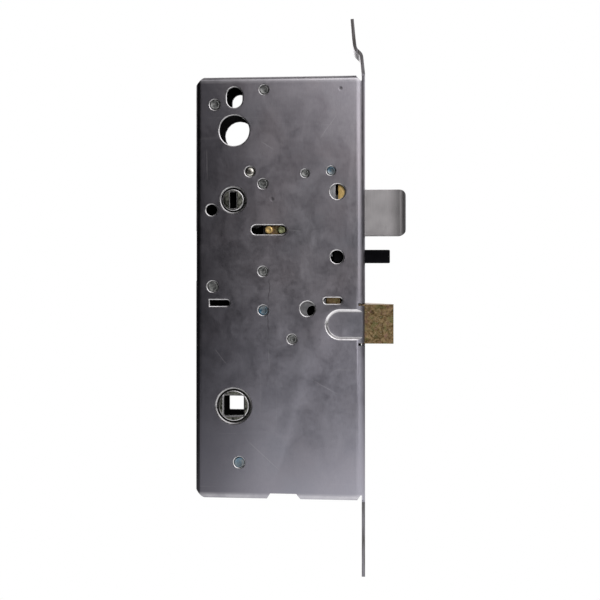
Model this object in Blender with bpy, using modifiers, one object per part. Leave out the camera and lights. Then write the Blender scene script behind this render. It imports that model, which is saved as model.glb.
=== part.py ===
"""A mortise lock for a door: folded steel case, deadbolt, guard bolt and latchbolt.

Lengths below are in millimetres and MM turns them into metres. The frame has its origin on the
outer face of the case's front, level with the lever spindle. +X points out of the door's edge,
+Y away from the side that carries the staked posts, and +Z up.
"""

import math

import bmesh
import bpy
from mathutils import Matrix

MM = 0.001
GAP = 0.3          # between pieces that touch
SEGMENTS = 20      # sides of a round hole or turned piece

# ---- Case -------------------------------------------------------------------------------------
SHEET = 1.25
CASE_REAR = -64.8
CASE_TOP = 125.7
CASE_BOTTOM = -35.6
NEAR = -8.25                     # outer face of the side plate
FAR = 8.25                       # outer face of the cover plate
INNER_NEAR = NEAR + SHEET
INNER_FAR = FAR - SHEET
FRONT_BEND_RADIUS = 3.4
REAR_BEND_RADIUS = 2.6
END_BEND_RADIUS = 2.0            # along the top and the bottom flange
CORNER_CHAMFER = 3.4
FLARE = 0.45                     # width of the bright rim of a punched hole

# ---- Mounting tabs ----------------------------------------------------------------------------
TAB_HALF_WIDTH = 6.0
TAB_TOP = 147.2
TAB_BOTTOM = -64.6
TAB_HOLE_RADIUS = 2.5
TOP_TAB_HOLE_Z = 142.2
BOTTOM_TAB_HOLE_Z = -55.0
FRONT_TAP_RADIUS = 1.7
FRONT_TAP_HEIGHTS = (117.0, -27.0)

# ---- Lever hub --------------------------------------------------------------------------------
BACKSET = 50.0
LEVER_AT = (-BACKSET, 0.0)
SPINDLE_SQUARE = 7.6
SPINDLE_CHAMFER = 0.5
LEVER_FACE_RADIUS = 6.2
LEVER_BODY_RADIUS = 8.6
LEVER_ARM_RADIUS = 15.35         # hub axis to the arm's tip
LEVER_ARM_REST = math.radians(20)
LEVER_TIP_RADIUS = 2.0

# ---- Thumb turn hub ---------------------------------------------------------------------------
TURN_AT = (-50.2, 78.5)
TURN_FACE_RADIUS = 4.4
TURN_BODY_RADIUS = 5.2
TURN_SLOT = (2.6, 6.2)
TURN_SLOT_DEPTH = 6.0
DEADBOLT_THROW = 15.4
TURN_ARM_RADIUS = DEADBOLT_THROW / 2 / math.sin(math.radians(45))
TURN_PIN_RADIUS = 2.0

# ---- Bolts ------------------------------------------------------------------------------------
BOLT_HALF_WIDTH = 6.0
DEADBOLT_NOSE = 15.5
DEADBOLT_Z = (64.9, 82.3)
GUARD_NOSE = 9.4
GUARD_Z = (54.4, 59.5)
GUARD_Y = (-5.8, -0.2)
LATCH_NOSE = 10.75
LATCH_Z = (23.9, 38.8)
BOLT_CLEARANCE = 0.4             # between a bolt and its cut-out in the front

# ---- Staked posts: place (x, z), diameter of the rim seen outside, finish ---------------------
POSTS = {
    "post_top_rear": ((-57.3, 114.9), 4.8, "zinc"),
    "post_top": ((-38.4, 120.4), 4.4, "zinc"),
    "post_deadlock_pivot": ((-38.8, 84.6), 4.6, "zinc"),
    "post_deadbolt_rear": ((-22.7, 88.5), 3.9, "zinc"),
    "post_deadbolt_front": ((-12.9, 89.4), 4.2, "blue_zinc"),
    "post_centre": ((-38.8, 51.3), 4.6, "zinc"),
    "post_rear": ((-58.1, 45.5), 5.0, "zinc"),
    "post_latch_rear": ((-38.7, 36.5), 4.7, "blue_zinc"),
    "post_latch_lower": ((-27.7, 25.6), 4.5, "zinc"),
    "post_bottom": ((-47.9, -21.5), 5.0, "blue_zinc"),
}
POST_RIM = 0.35
POST_BODY_EXTRA = 0.15           # the body is this much larger than the rim's radius
SCREWED_POSTS = ("post_top_rear", "post_deadbolt_front", "post_rear", "post_bottom")
POST_END_CHAMFER = 0.3
LONG_SCREW_AT = (-43.8, 89.3)
SCREW_RADIUS = 1.2
SCREW_HEAD_RADIUS = 2.3
SCREW_TAP_DEPTH = 6.0            # of the bore in a post that takes a screw
SCREW_REACH = 5.4                # how far the screw's tip stands into that bore
LONG_SCREW_THREAD_RADIUS = 1.6
DRIVER_SLOT = (6.0, 0.7, 0.6)    # length, width and depth of a screw's slot

# ---- Other holes in the side plate ------------------------------------------------------------
BOLT_HOLE = ((-49.8, 105.0), 5.8)            # through both plates
OVAL_HOLE = ((-49.7, 117.6), 6.1, 7.8)       # through both plates, width and height
SIDE_HOLES = (
    ((-10.4, 81.5), 2.9),
    ((-58.5, 74.7), 2.15),
    ((-10.6, 56.8), 2.5),
    ((-21.8, 37.1), 2.85),
)
PIN_SLOT = ((-36.5, 67.1), 13.4, 3.6)
REAR_SLOT = ((-55.4, 39.2), 7.7, 2.4)
LATCH_SLOT = ((-12.2, 40.2), 7.2, 2.4)
LATCH_POCKET_Z = (25.4, 37.0)
LATCH_POCKET_REAR = -15.1
LATCH_POCKET_DEPTH = 0.7
LATCH_POCKET_SLOPE = 1.25
BOTTOM_NOTCH = ((-38.7, -22.9), (-36.0, -26.0), 2.5)   # its mouth, its floor and its depth
REAR_STEP_Z = (47.6, 66.8)       # the rear flange stands back a little between these heights
REAR_STEP = 0.3

# ---- Deadlock lever ---------------------------------------------------------------------------
DEADLOCK_PIVOT = POSTS["post_deadlock_pivot"][0]
DEADLOCK_FOOT = (-36.3, 57.0)
DEADLOCK_Y = (-5.2, -3.8)
# place (x, z), radius, near end, finish
DEADLOCK_PINS = {
    "deadlock_pin_rear": ((-36.7, 67.1), 1.55, INNER_NEAR + GAP, "brass"),
    "deadlock_pin_front": ((-31.8, 67.1), 1.6, INNER_NEAR + 0.9, "dull_brass"),
}


# ---- Helpers ----------------------------------------------------------------------------------
def clear_scene():
    for old in list(bpy.data.objects):
        bpy.data.objects.remove(old, do_unlink=True)


def new_collection(name):
    made = bpy.data.collections.new(name)
    bpy.context.scene.collection.children.link(made)
    return made


def new_material(name, colour, roughness, metallic=1.0):
    made = bpy.data.materials.new(name)
    made.use_nodes = True
    shader = made.node_tree.nodes["Principled BSDF"]
    shader.inputs["Base Color"].default_value = (*colour, 1.0)
    shader.inputs["Roughness"].default_value = roughness
    shader.inputs["Metallic"].default_value = metallic
    made.diffuse_color = (*colour, 1.0)
    return made


def add_piece(name, data, finish, place=(0.0, 0.0, 0.0), rotation=(0.0, 0.0, 0.0)):
    """A sub-part with a material of its own; place is in millimetres."""
    piece = bpy.data.objects.new(name, data)
    piece.location = [v * MM for v in place]
    piece.rotation_euler = rotation
    PARTS.objects.link(piece)
    colour, roughness, metallic = FINISHES[finish]
    data.materials.append(new_material(name, colour, roughness, metallic))
    return piece


def add_cutter(name, mesh):
    cutter = bpy.data.objects.new(name, mesh)
    cutter.hide_render = True
    cutter.display_type = "WIRE"
    CUTTERS.objects.link(cutter)
    return cutter


def arc(x, z, radius, start, end, steps):
    """Points on an arc, its two ends included; angles in degrees, anticlockwise."""
    points = []
    for i in range(steps + 1):
        angle = math.radians(start + (end - start) * i / steps)
        points.append((x + radius * math.cos(angle), z + radius * math.sin(angle)))
    return points


def circle(place, radius, grow=0.0):
    return arc(*place, radius + grow, 0, 360, SEGMENTS)[:-1]


def obround(place, length, height, grow=0.0):
    """A slot with round ends, along X where length is the larger and along Z otherwise."""
    x, z = place
    radius = min(length, height) / 2 + grow
    reach = abs(length - height) / 2
    half = SEGMENTS // 2
    if length >= height:
        return arc(x + reach, z, radius, -90, 90, half) + arc(x - reach, z, radius, 90, 270, half)
    return arc(x, z + reach, radius, 0, 180, half) + arc(x, z - reach, radius, 180, 360, half)


def rectangle(low_x, low_z, high_x, high_z):
    return [(low_x, low_z), (high_x, low_z), (high_x, high_z), (low_x, high_z)]


def half_open_slot(place, length, height, grow=0.0):
    """A slot with a square rear end and a round front end."""
    x, z = place
    radius = height / 2 + grow
    nose = x + length / 2 - height / 2
    return arc(nose, z, radius, -90, 90, 8) + [
        (x - length / 2 - grow, z + radius),
        (x - length / 2 - grow, z - radius),
    ]


def loft(bm, rings):
    """A closed form through rings of (y, outline), whose outlines have equal counts."""
    made = []
    for y, outline in rings:
        made.append([bm.verts.new((x * MM, y * MM, z * MM)) for x, z in outline])
    count = len(made[0])
    for low, high in zip(made, made[1:]):
        for i in range(count):
            bm.faces.new((low[i], low[(i + 1) % count], high[(i + 1) % count], high[i]))
    bm.faces.new(made[0])
    bm.faces.new(made[-1])


def cutters_from(name, forms):
    """One cutter object from several lofted forms that don't touch each other."""
    bm = bmesh.new()
    for rings in forms:
        loft(bm, rings)
    bmesh.ops.recalc_face_normals(bm, faces=bm.faces)
    mesh = bpy.data.meshes.new(name)
    bm.to_mesh(mesh)
    bm.free()
    return add_cutter(name, mesh)


def punched(outline, face, inner, flare=FLARE):
    """A hole's form: its nominal outline, and a flared mouth at the outer face of its plate."""
    inward = 1 if inner > face else -1
    return [
        (face - inward, outline(flare)),
        (face, outline(flare)),
        (face + inward * flare, outline(0.0)),
        (inner + inward, outline(0.0)),
    ]


def straight(outline, low_y, high_y):
    return [(low_y, outline), (high_y, outline)]


def block_mesh(name, low, high):
    """A box between two corners, with its origin at its middle."""
    bm = bmesh.new()
    bmesh.ops.create_cube(bm, size=1.0)
    sizes = [(b - a) * MM for a, b in zip(low, high)]
    bmesh.ops.scale(bm, vec=sizes, verts=bm.verts)
    mesh = bpy.data.meshes.new(name)
    bm.to_mesh(mesh)
    bm.free()
    return mesh


def block(name, low, high, finish, bevel=0.0, segments=2):
    middle = [(a + b) / 2 for a, b in zip(low, high)]
    piece = add_piece(name, block_mesh(name, low, high), finish, middle)
    if bevel:
        add_bevel(piece, bevel, segments)
    return piece


def cutter_block(name, low, high):
    cutter = add_cutter(name, block_mesh(name, low, high))
    cutter.location = [(a + b) / 2 * MM for a, b in zip(low, high)]
    return cutter


def add_bevel(piece, width, segments=2):
    bevel = piece.modifiers.new("rounded_edges", "BEVEL")
    bevel.width = width * MM
    bevel.segments = segments
    bevel.limit_method = "ANGLE"
    bevel.angle_limit = math.radians(40)


def cut(piece, cutter):
    add_boolean(piece, cutter, "DIFFERENCE")


def join(piece, other):
    """Union with a helper form, which then counts as a cutter."""
    add_boolean(piece, other, "UNION")


def add_boolean(piece, other, operation):
    boolean = piece.modifiers.new(other.name, "BOOLEAN")
    boolean.operation = operation
    boolean.object = other
    boolean.solver = "EXACT"


def profile_mesh(name, profile):
    """An open line of (radius, height) points in the XZ plane, ready for a Screw modifier."""
    mesh = bpy.data.meshes.new(name)
    edges = [(i, i + 1) for i in range(len(profile) - 1)]
    mesh.from_pydata([(r * MM, 0.0, h * MM) for r, h in profile], edges, [])
    return mesh


def add_screw(piece, steps):
    screw = piece.modifiers.new("turned", "SCREW")
    screw.axis = "Z"
    screw.angle = math.tau
    screw.steps = steps
    screw.render_steps = steps
    screw.use_merge_vertices = True
    screw.merge_threshold = 0.00001


def turned_y(name, profile, place, finish, steps=SEGMENTS):
    """A piece turned about Y through place (x, z). The profile is (radius, y) with y rising."""
    heights = [(r, -y) for r, y in profile]
    x, z = place
    piece = add_piece(name, profile_mesh(name, heights), finish, (x, 0.0, z), (math.pi / 2, 0, 0))
    add_screw(piece, steps)
    return piece


def turned_x(name, profile, place, finish, steps=SEGMENTS):
    """A piece turned about X through place (y, z). The profile is (radius, x) with x falling."""
    y, z = place
    piece = add_piece(name, profile_mesh(name, profile), finish, (0.0, y, z), (0, math.pi / 2, 0))
    add_screw(piece, steps)
    return piece


def rod_cutter(name, start, axis, radius, length):
    """A round cutter of a given length from start along +X or +Y."""
    bm = bmesh.new()
    bmesh.ops.create_cone(
        bm,
        cap_ends=True,
        segments=SEGMENTS,
        radius1=radius * MM,
        radius2=radius * MM,
        depth=length * MM,
    )
    mesh = bpy.data.meshes.new(name)
    bm.to_mesh(mesh)
    bm.free()
    cutter = add_cutter(name, mesh)
    x, y, z = start
    if axis == "X":
        cutter.rotation_euler = (0, math.pi / 2, 0)
        x += length / 2
    else:
        cutter.rotation_euler = (math.pi / 2, 0, 0)
        y += length / 2
    cutter.location = (x * MM, y * MM, z * MM)
    return cutter


def outline_curve(name, outlines, thickness):
    """A flat 2D curve; the outlines after the first are holes."""
    curve = bpy.data.curves.new(name, "CURVE")
    curve.dimensions = "2D"
    curve.fill_mode = "BOTH"
    curve.extrude = thickness / 2 * MM
    for outline in outlines:
        spline = curve.splines.new("POLY")
        spline.points.add(len(outline) - 1)
        for point, (a, b) in zip(spline.points, outline):
            point.co = (a * MM, b * MM, 0.0, 1.0)
        spline.use_cyclic_u = True
    return curve


def plate(name, outlines, y_range, finish):
    """A flat plate whose outlines are in X and Z, between two values of y."""
    low, high = y_range
    curve = outline_curve(name, outlines, high - low)
    return add_piece(name, curve, finish, (0.0, (low + high) / 2, 0.0), (math.pi / 2, 0, 0))


def as_mesh(piece):
    """The same piece as a mesh with welded caps, so that it can be cut or joined."""
    bpy.context.view_layer.update()
    evaluated = piece.evaluated_get(bpy.context.evaluated_depsgraph_get())
    mesh = bpy.data.meshes.new_from_object(evaluated)
    bm = bmesh.new()
    bm.from_mesh(mesh)
    bmesh.ops.remove_doubles(bm, verts=bm.verts, dist=0.000001)
    bmesh.ops.recalc_face_normals(bm, faces=bm.faces)
    bm.to_mesh(mesh)
    bm.free()
    name, place = piece.name, piece.matrix_world.copy()
    bpy.data.objects.remove(piece)
    made = bpy.data.objects.new(name, mesh)
    made.matrix_world = place
    PARTS.objects.link(made)
    return made


def as_helper(piece):
    """Moves a form out of the parts, once it is joined to another piece."""
    PARTS.objects.unlink(piece)
    CUTTERS.objects.link(piece)
    piece.hide_render = True
    piece.display_type = "WIRE"
    return piece


def wire(name, points, radius, finish):
    """A round wire through points in millimetres."""
    curve = bpy.data.curves.new(name, "CURVE")
    curve.dimensions = "3D"
    curve.bevel_depth = radius * MM
    curve.bevel_resolution = 2
    curve.use_fill_caps = True
    spline = curve.splines.new("POLY")
    spline.points.add(len(points) - 1)
    for point, (x, y, z) in zip(spline.points, points):
        point.co = (x * MM, y * MM, z * MM, 1.0)
    return add_piece(name, curve, finish)


def coil_x(start, end, y, z, radius, turns, per_turn=10):
    """Points of a compression spring about an axis along X."""
    count = turns * per_turn
    points = []
    for i in range(count + 1):
        angle = math.tau * i / per_turn
        x = start + (end - start) * i / count
        points.append((x, y + radius * math.cos(angle), z + radius * math.sin(angle)))
    return points


def mover(name, x, y, z):
    """An empty on a joint's axis, for the pieces of one moving group."""
    empty = bpy.data.objects.new(name, None)
    empty.location = (x * MM, y * MM, z * MM)
    empty.empty_display_size = 5 * MM
    PARTS.objects.link(empty)
    return empty


def group(empty, pieces):
    to_local = Matrix.Translation(empty.location).inverted()
    for piece in pieces:
        piece.parent = empty
        piece.matrix_parent_inverse = to_local


def smooth_round_pieces():
    """Shades the turned pieces and wires smooth, with sharp edges kept sharp."""
    for piece in PARTS.objects:
        if piece.type == "MESH":
            piece.data.shade_smooth()
            piece.data.set_sharp_from_angle(angle=math.radians(35))


# ---- Case -------------------------------------------------------------------------------------
def side_hole_forms():
    """Every punched hole of the side plate."""
    forms = []
    rounds = [(place, rim / 2 - POST_RIM, POST_RIM) for place, rim, _ in POSTS.values()]
    rounds += [(place, radius, FLARE) for place, radius in SIDE_HOLES + (BOLT_HOLE,)]
    rounds.append((LEVER_AT, LEVER_FACE_RADIUS + GAP, FLARE))
    rounds.append((TURN_AT, TURN_FACE_RADIUS + GAP, FLARE))
    rounds.append((LONG_SCREW_AT, LONG_SCREW_THREAD_RADIUS + GAP, FLARE))
    for place, radius, flare in rounds:
        outline = lambda g, p=place, r=radius: circle(p, r, g)
        forms.append(punched(outline, NEAR, INNER_NEAR, flare))
    for slot in (PIN_SLOT, LATCH_SLOT, OVAL_HOLE):
        forms.append(punched(lambda g, s=slot: obround(*s, g), NEAR, INNER_NEAR))
    forms.append(punched(lambda g: half_open_slot(*REAR_SLOT, g), NEAR, INNER_NEAR))
    return forms


def pocket_outline(front, grow):
    """The latch pocket, round at its rear and straight to its front end."""
    low, high = LATCH_POCKET_Z
    middle, radius = (low + high) / 2, (high - low) / 2 + grow
    rear = LATCH_POCKET_REAR + (high - low) / 2
    sides = [(front, middle + radius)] + arc(rear, middle, radius, 90, 270, 12)
    return sides + [(front, middle - radius)]


def corner_forms():
    """Cuts through both plates' corners and the edge of the bottom flange."""
    out = 2.0
    rear, top, bottom = CASE_REAR, CASE_TOP, CASE_BOTTOM
    along = CORNER_CHAMFER + out
    top_rear = [(rear - out, top - along), (rear + along, top + out), (rear - out, top + out)]
    bottom_rear = [
        (rear - out, bottom - out),
        (rear + along, bottom - out),
        (rear - out, bottom + along),
    ]
    mouth, floor, depth = BOTTOM_NOTCH
    notch = [
        (mouth[0], bottom - out),
        (mouth[1], bottom - out),
        (floor[1], bottom + depth),
        (floor[0], bottom + depth),
    ]
    top_relief = [
        (-3.3, top + out),
        (-3.3, top - 0.6),
        (-1.9, top - 2.3),
        (-SHEET, top - 2.3),
        (-SHEET, top + out),
    ]
    bottom_relief = [
        (-3.0, bottom - out),
        (-SHEET, bottom - out),
        (-SHEET, bottom + 2.3),
        (-1.8, bottom + 2.3),
        (-3.0, bottom + 0.4),
    ]
    outlines = (top_rear, bottom_rear, notch, top_relief, bottom_relief)
    return [straight(outline, NEAR - 1, FAR + 1) for outline in outlines]


def build_case_shell():
    """Side plate, three flanges and the front, bent from one sheet, with a tab at each end."""
    shell = add_piece("case_shell", pan_mesh(), "case")
    bends = shell.modifiers.new("bends", "BEVEL")
    bends.width = FRONT_BEND_RADIUS * MM
    bends.segments = 4
    bends.limit_method = "WEIGHT"
    solid = shell.modifiers.new("sheet", "SOLIDIFY")
    solid.thickness = SHEET * MM
    solid.offset = -1.0
    solid.use_even_offset = True

    join(shell, as_helper(latch_pad()))
    cut(shell, cutters_from("side_holes", side_hole_forms()))
    beyond = 3.0
    pocket = [
        (NEAR - 1, pocket_outline(beyond, 0.0)),
        (NEAR, pocket_outline(beyond, 0.0)),
        (NEAR + LATCH_POCKET_DEPTH, pocket_outline(beyond, -LATCH_POCKET_SLOPE)),
    ]
    cut(shell, cutters_from("latch_pocket", [pocket]))
    cut(shell, cutters_from("corner_cuts", corner_forms()))
    rebate_low = (CASE_REAR - 1, INNER_FAR - GAP, CASE_BOTTOM - 1)
    rebate_high = (-SHEET - GAP / 2, FAR + 1, CASE_TOP + 1)
    cut(shell, cutter_block("cover_rebate", rebate_low, rebate_high))
    step_low = (CASE_REAR - 1, NEAR - 1, REAR_STEP_Z[0])
    step_high = (CASE_REAR + REAR_STEP, FAR + 1, REAR_STEP_Z[1])
    cut(shell, cutter_block("rear_step", step_low, step_high))
    for tab in (top_tab(), bottom_tab()):
        join(shell, as_helper(tab))
    cut_front(shell)
    return shell


def pan_mesh():
    """The outer surface of the folded pan, open on its far side."""
    bm = bmesh.new()
    bmesh.ops.create_cube(bm, size=1.0)
    size = (-CASE_REAR * MM, (FAR - NEAR) * MM, (CASE_TOP - CASE_BOTTOM) * MM)
    bmesh.ops.scale(bm, vec=size, verts=bm.verts)
    middle = (CASE_REAR / 2 * MM, (NEAR + FAR) / 2 * MM, (CASE_TOP + CASE_BOTTOM) / 2 * MM)
    bmesh.ops.translate(bm, vec=middle, verts=bm.verts)
    open_side = [f for f in bm.faces if f.calc_center_median().y > (FAR - 0.1) * MM]
    bmesh.ops.delete(bm, geom=open_side, context="FACES_ONLY")
    weight = bm.edges.layers.float.new("bevel_weight_edge")
    for edge in bm.edges:
        edge[weight] = bend_radius(edge) / FRONT_BEND_RADIUS
    mesh = bpy.data.meshes.new("case_shell")
    bm.to_mesh(mesh)
    bm.free()
    return mesh


def bend_radius(edge):
    """The outer radius of a bend of the pan, and none for the edges across the thickness."""
    a, b = (vert.co / MM for vert in edge.verts)
    if max(a.y, b.y) > NEAR + 0.1:
        return 0.0
    if abs(a.z - b.z) < 0.1:
        return END_BEND_RADIUS
    return FRONT_BEND_RADIUS if a.x > -0.1 else REAR_BEND_RADIUS


def latch_pad():
    """The inner side of the pressed latch pocket."""
    outline = pocket_outline(-3.4, 0.2)
    pad = plate("latch_pad", [outline], (INNER_NEAR - 0.3, INNER_NEAR + LATCH_POCKET_DEPTH), "case")
    return as_mesh(pad)


def offset_strip(path, thickness):
    """The outline of a strip of sheet along a path of (x, z) points."""
    left, right = [], []
    for i, (x, z) in enumerate(path):
        before = path[max(i - 1, 0)]
        after = path[min(i + 1, len(path) - 1)]
        dx, dz = after[0] - before[0], after[1] - before[1]
        length = math.hypot(dx, dz)
        across = (-dz / length * thickness / 2, dx / length * thickness / 2)
        left.append((x + across[0], z + across[1]))
        right.append((x - across[0], z - across[1]))
    return right + left[::-1]


def top_tab():
    """The upper tab leans back and is joggled towards the inside of the door."""
    path = [
        (-SHEET / 2, CASE_TOP - 2.6),
        (-SHEET / 2, CASE_TOP + 0.5),
        (-1.1, 131.0),
        (-1.35, 133.0),
        (-1.95, 134.2),
        (-3.2, 135.4),
        (-3.85, 136.8),
        (-4.2, 139.5),
        (-4.9, TAB_TOP),
    ]
    tab = plate("top_tab", [offset_strip(path, SHEET)], (-TAB_HALF_WIDTH, TAB_HALF_WIDTH), "case")
    return as_mesh(tab)


def bottom_tab():
    outline = rectangle(-SHEET, TAB_BOTTOM, 0.0, CASE_BOTTOM + 2.6)
    tab = plate("bottom_tab", [outline], (-TAB_HALF_WIDTH, TAB_HALF_WIDTH), "case")
    return as_mesh(tab)


def cut_front(shell):
    """Openings for the three bolts, the screw holes, and the reliefs beside the latch."""
    gap = BOLT_CLEARANCE
    half = BOLT_HALF_WIDTH + gap
    openings = {
        "deadbolt_opening": (DEADBOLT_Z, (-half, half)),
        "guard_opening": (GUARD_Z, (GUARD_Y[0] - gap, GUARD_Y[1] + gap)),
        "latch_opening": (LATCH_Z, (-half, half)),
    }
    for name, (heights, widths) in openings.items():
        low = (-SHEET - 1.0, widths[0], heights[0] - gap)
        high = (1.0, widths[1], heights[1] + gap)
        cut(shell, cutter_block(name, low, high))
    for name, height in (("upper_relief", LATCH_Z[1]), ("lower_relief", LATCH_Z[0] - 0.2)):
        low, high = (-2.5, NEAR - 1, height - 0.5), (1.0, -5.0, height + 0.5)
        cut(shell, cutter_block(name, low, high))
    holes = [(TOP_TAB_HOLE_Z, TAB_HOLE_RADIUS), (BOTTOM_TAB_HOLE_Z, TAB_HOLE_RADIUS)]
    holes += [(height, FRONT_TAP_RADIUS) for height in FRONT_TAP_HEIGHTS]
    for height, radius in holes:
        cut(shell, rod_cutter(f"front_hole_{height:.0f}", (-8, 0, height), "X", radius, 12))


def build_cover():
    """The flat cover, with clearance holes for the hubs and countersinks for its screws."""
    chamfer = CORNER_CHAMFER
    rear, top, bottom = CASE_REAR + 0.1, CASE_TOP - 0.1, CASE_BOTTOM + 0.1
    front = -SHEET - GAP
    mouth, floor, depth = BOTTOM_NOTCH
    outline = [
        (rear, bottom + chamfer),
        (rear + chamfer, bottom),
        (mouth[0] + 1.2, bottom),
        (floor[0], bottom + depth - 0.1),
        (floor[1], bottom + depth - 0.1),
        (mouth[1] - 1.2, bottom),
        (front - 1.6, bottom),
        (front, bottom + 2.2),
        (front, top - 2.2),
        (front - 1.6, top),
        (rear + chamfer, top),
        (rear, top - chamfer),
    ]
    holes = [
        circle(LEVER_AT, LEVER_FACE_RADIUS + GAP),
        circle(TURN_AT, TURN_FACE_RADIUS + GAP),
        circle(*BOLT_HOLE),
        obround(*OVAL_HOLE),
    ]
    cover = as_mesh(plate("cover_plate", [outline] + holes, (INNER_FAR, FAR), "case"))
    forms = [countersink(POSTS[name][0]) for name in SCREWED_POSTS]
    forms.append(countersink(LONG_SCREW_AT))
    cut(cover, cutters_from("countersinks", forms))
    return cover


def countersink(place):
    bore = SCREW_RADIUS + GAP
    head = SCREW_HEAD_RADIUS + GAP
    return [
        (FAR + 1, circle(place, head)),
        (FAR, circle(place, head)),
        (FAR - head + bore, circle(place, bore)),
        (INNER_FAR - 1, circle(place, bore)),
    ]


def build_posts():
    """Shouldered posts between the plates; each has a staked end in the side plate."""
    for name, (place, rim, finish) in POSTS.items():
        end = rim / 2 - POST_RIM - 0.25
        body = rim / 2 + POST_BODY_EXTRA
        low, high = INNER_NEAR + GAP, INNER_FAR - GAP
        profile = [
            (0.0, NEAR + 0.1),
            (end - POST_END_CHAMFER, NEAR + 0.1),
            (end, NEAR + 0.35),
            (end, low),
            (body, low),
            (body, high),
        ]
        if name in SCREWED_POSTS:
            bore, floor = SCREW_RADIUS + GAP, high - SCREW_TAP_DEPTH
            profile += [(bore, high), (bore, floor), (0.0, floor)]
        else:
            profile.append((0.0, high))
        turned_y(name, profile, place, finish, 16)


def screw_piece(name, place, end, finish):
    """A countersunk screw with its head in the cover. Its end is a profile of (radius, y)."""
    head, shank = SCREW_HEAD_RADIUS, SCREW_RADIUS
    profile = end + [(shank, FAR - head + shank), (head, FAR), (0.0, FAR)]
    piece = turned_y(name, profile, place, finish, 16)
    length, width, depth = DRIVER_SLOT
    x, z = place
    low = (x - length / 2, FAR - depth, z - width / 2)
    high = (x + length / 2, FAR + 1, z + width / 2)
    cut(piece, cutter_block(f"{name}_slot", low, high))
    return piece


def build_screws():
    """One screw in each threaded post, and one that runs through the case to the side plate."""
    shank, tip = SCREW_RADIUS, INNER_FAR - GAP - SCREW_REACH
    short_end = [(0.0, tip), (shank - 0.3, tip), (shank, tip + 0.3)]
    for post in SCREWED_POSTS:
        name = post.replace("post", "cover_screw")
        screw_piece(name, POSTS[post][0], short_end, "zinc")
    thread = LONG_SCREW_THREAD_RADIUS
    long_end = [
        (0.0, NEAR - 0.1),
        (thread - 0.4, NEAR - 0.1),
        (thread, NEAR + 0.3),
        (thread, INNER_NEAR + 3.0),
        (shank, INNER_NEAR + 3.4),
    ]
    screw_piece("cover_screw_long", LONG_SCREW_AT, long_end, "bright_zinc")


# ---- Deadbolt and its thumb turn --------------------------------------------------------------
DEADBOLT_JOINT_X = -2.0          # where the steel head meets the brass block
BLOCK_REAR = -10.2
BLOCK_SHOULDER = 2.5             # the block stands this far above the head
DEADBOLT_TAIL_Y = (2.8, 4.0)
DOWEL_RADIUS = 2.4
DOWEL_X = (-7.0, 3.0)
TAIL_RIVETS = {"deadbolt_rivet_upper": (-6.4, 73.2), "deadbolt_rivet_lower": (-6.4, 68.0)}
RIVET_RADIUS = 1.0
TURN_ARM_Y = (-0.5, 1.5)
DETENT_SPRING_Y = (-4.6, -1.2)


def build_deadbolt():
    """Steel head, brass block with a stop shoulder, and the tail that the thumb turn drives."""
    low, high = DEADBOLT_Z
    half, joint = BOLT_HALF_WIDTH, DEADBOLT_JOINT_X
    head = block("deadbolt_head", (joint, -half, low), (DEADBOLT_NOSE, half, high), "stainless")
    round_nose(head)
    block_high = (joint - GAP, half, high + BLOCK_SHOULDER)
    brass = block("deadbolt_block", (BLOCK_REAR, -half, low), block_high, "brass")
    rebate_low = (BLOCK_REAR - 1, DEADBOLT_TAIL_Y[0] - GAP, low - 1)
    rebate_high = (joint - 1, half + 1, high + BLOCK_SHOULDER + 1)
    cut(brass, cutter_block("tail_rebate", rebate_low, rebate_high))

    dowel_at = (-1.7, high - 4.6)
    start, end = DOWEL_X[0] - GAP, DOWEL_X[1] + GAP
    bore = rod_cutter("dowel_hole", (start, *dowel_at), "X", DOWEL_RADIUS + GAP, end - start)
    cut(head, bore)
    cut(brass, bore)
    profile = [(0.0, DOWEL_X[1]), (DOWEL_RADIUS, DOWEL_X[1])]
    profile += [(DOWEL_RADIUS, DOWEL_X[0]), (0.0, DOWEL_X[0])]
    dowel = turned_x("deadbolt_dowel", profile, dowel_at, "zinc", 16)

    pieces = [head, brass, dowel, build_deadbolt_tail()]
    tail_far = DEADBOLT_TAIL_Y[1]
    for name, place in TAIL_RIVETS.items():
        x, z = place
        cut(brass, rod_cutter(f"{name}_hole", (x, -1.2, z), "Y", RIVET_RADIUS + GAP, 5.0))
        profile = [
            (0.0, -0.9),
            (RIVET_RADIUS, -0.9),
            (RIVET_RADIUS, tail_far + GAP),
            (RIVET_RADIUS + 0.9, tail_far + GAP),
            (RIVET_RADIUS + 0.6, tail_far + 1.1),
            (0.0, tail_far + 1.1),
        ]
        pieces.append(turned_y(name, profile, place, "zinc", 16))
    return pieces


def round_nose(head):
    """Rounds the four edges of the deadbolt's outer end."""
    bm = bmesh.new()
    bm.from_mesh(head.data)
    end = max(v.co.x for v in bm.verts)
    edges = [e for e in bm.edges if all(v.co.x > end - 0.1 * MM for v in e.verts)]
    bmesh.ops.bevel(bm, geom=edges, offset=2.4 * MM, segments=5, profile=0.5, affect="EDGES")
    bm.to_mesh(head.data)
    bm.free()


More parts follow.
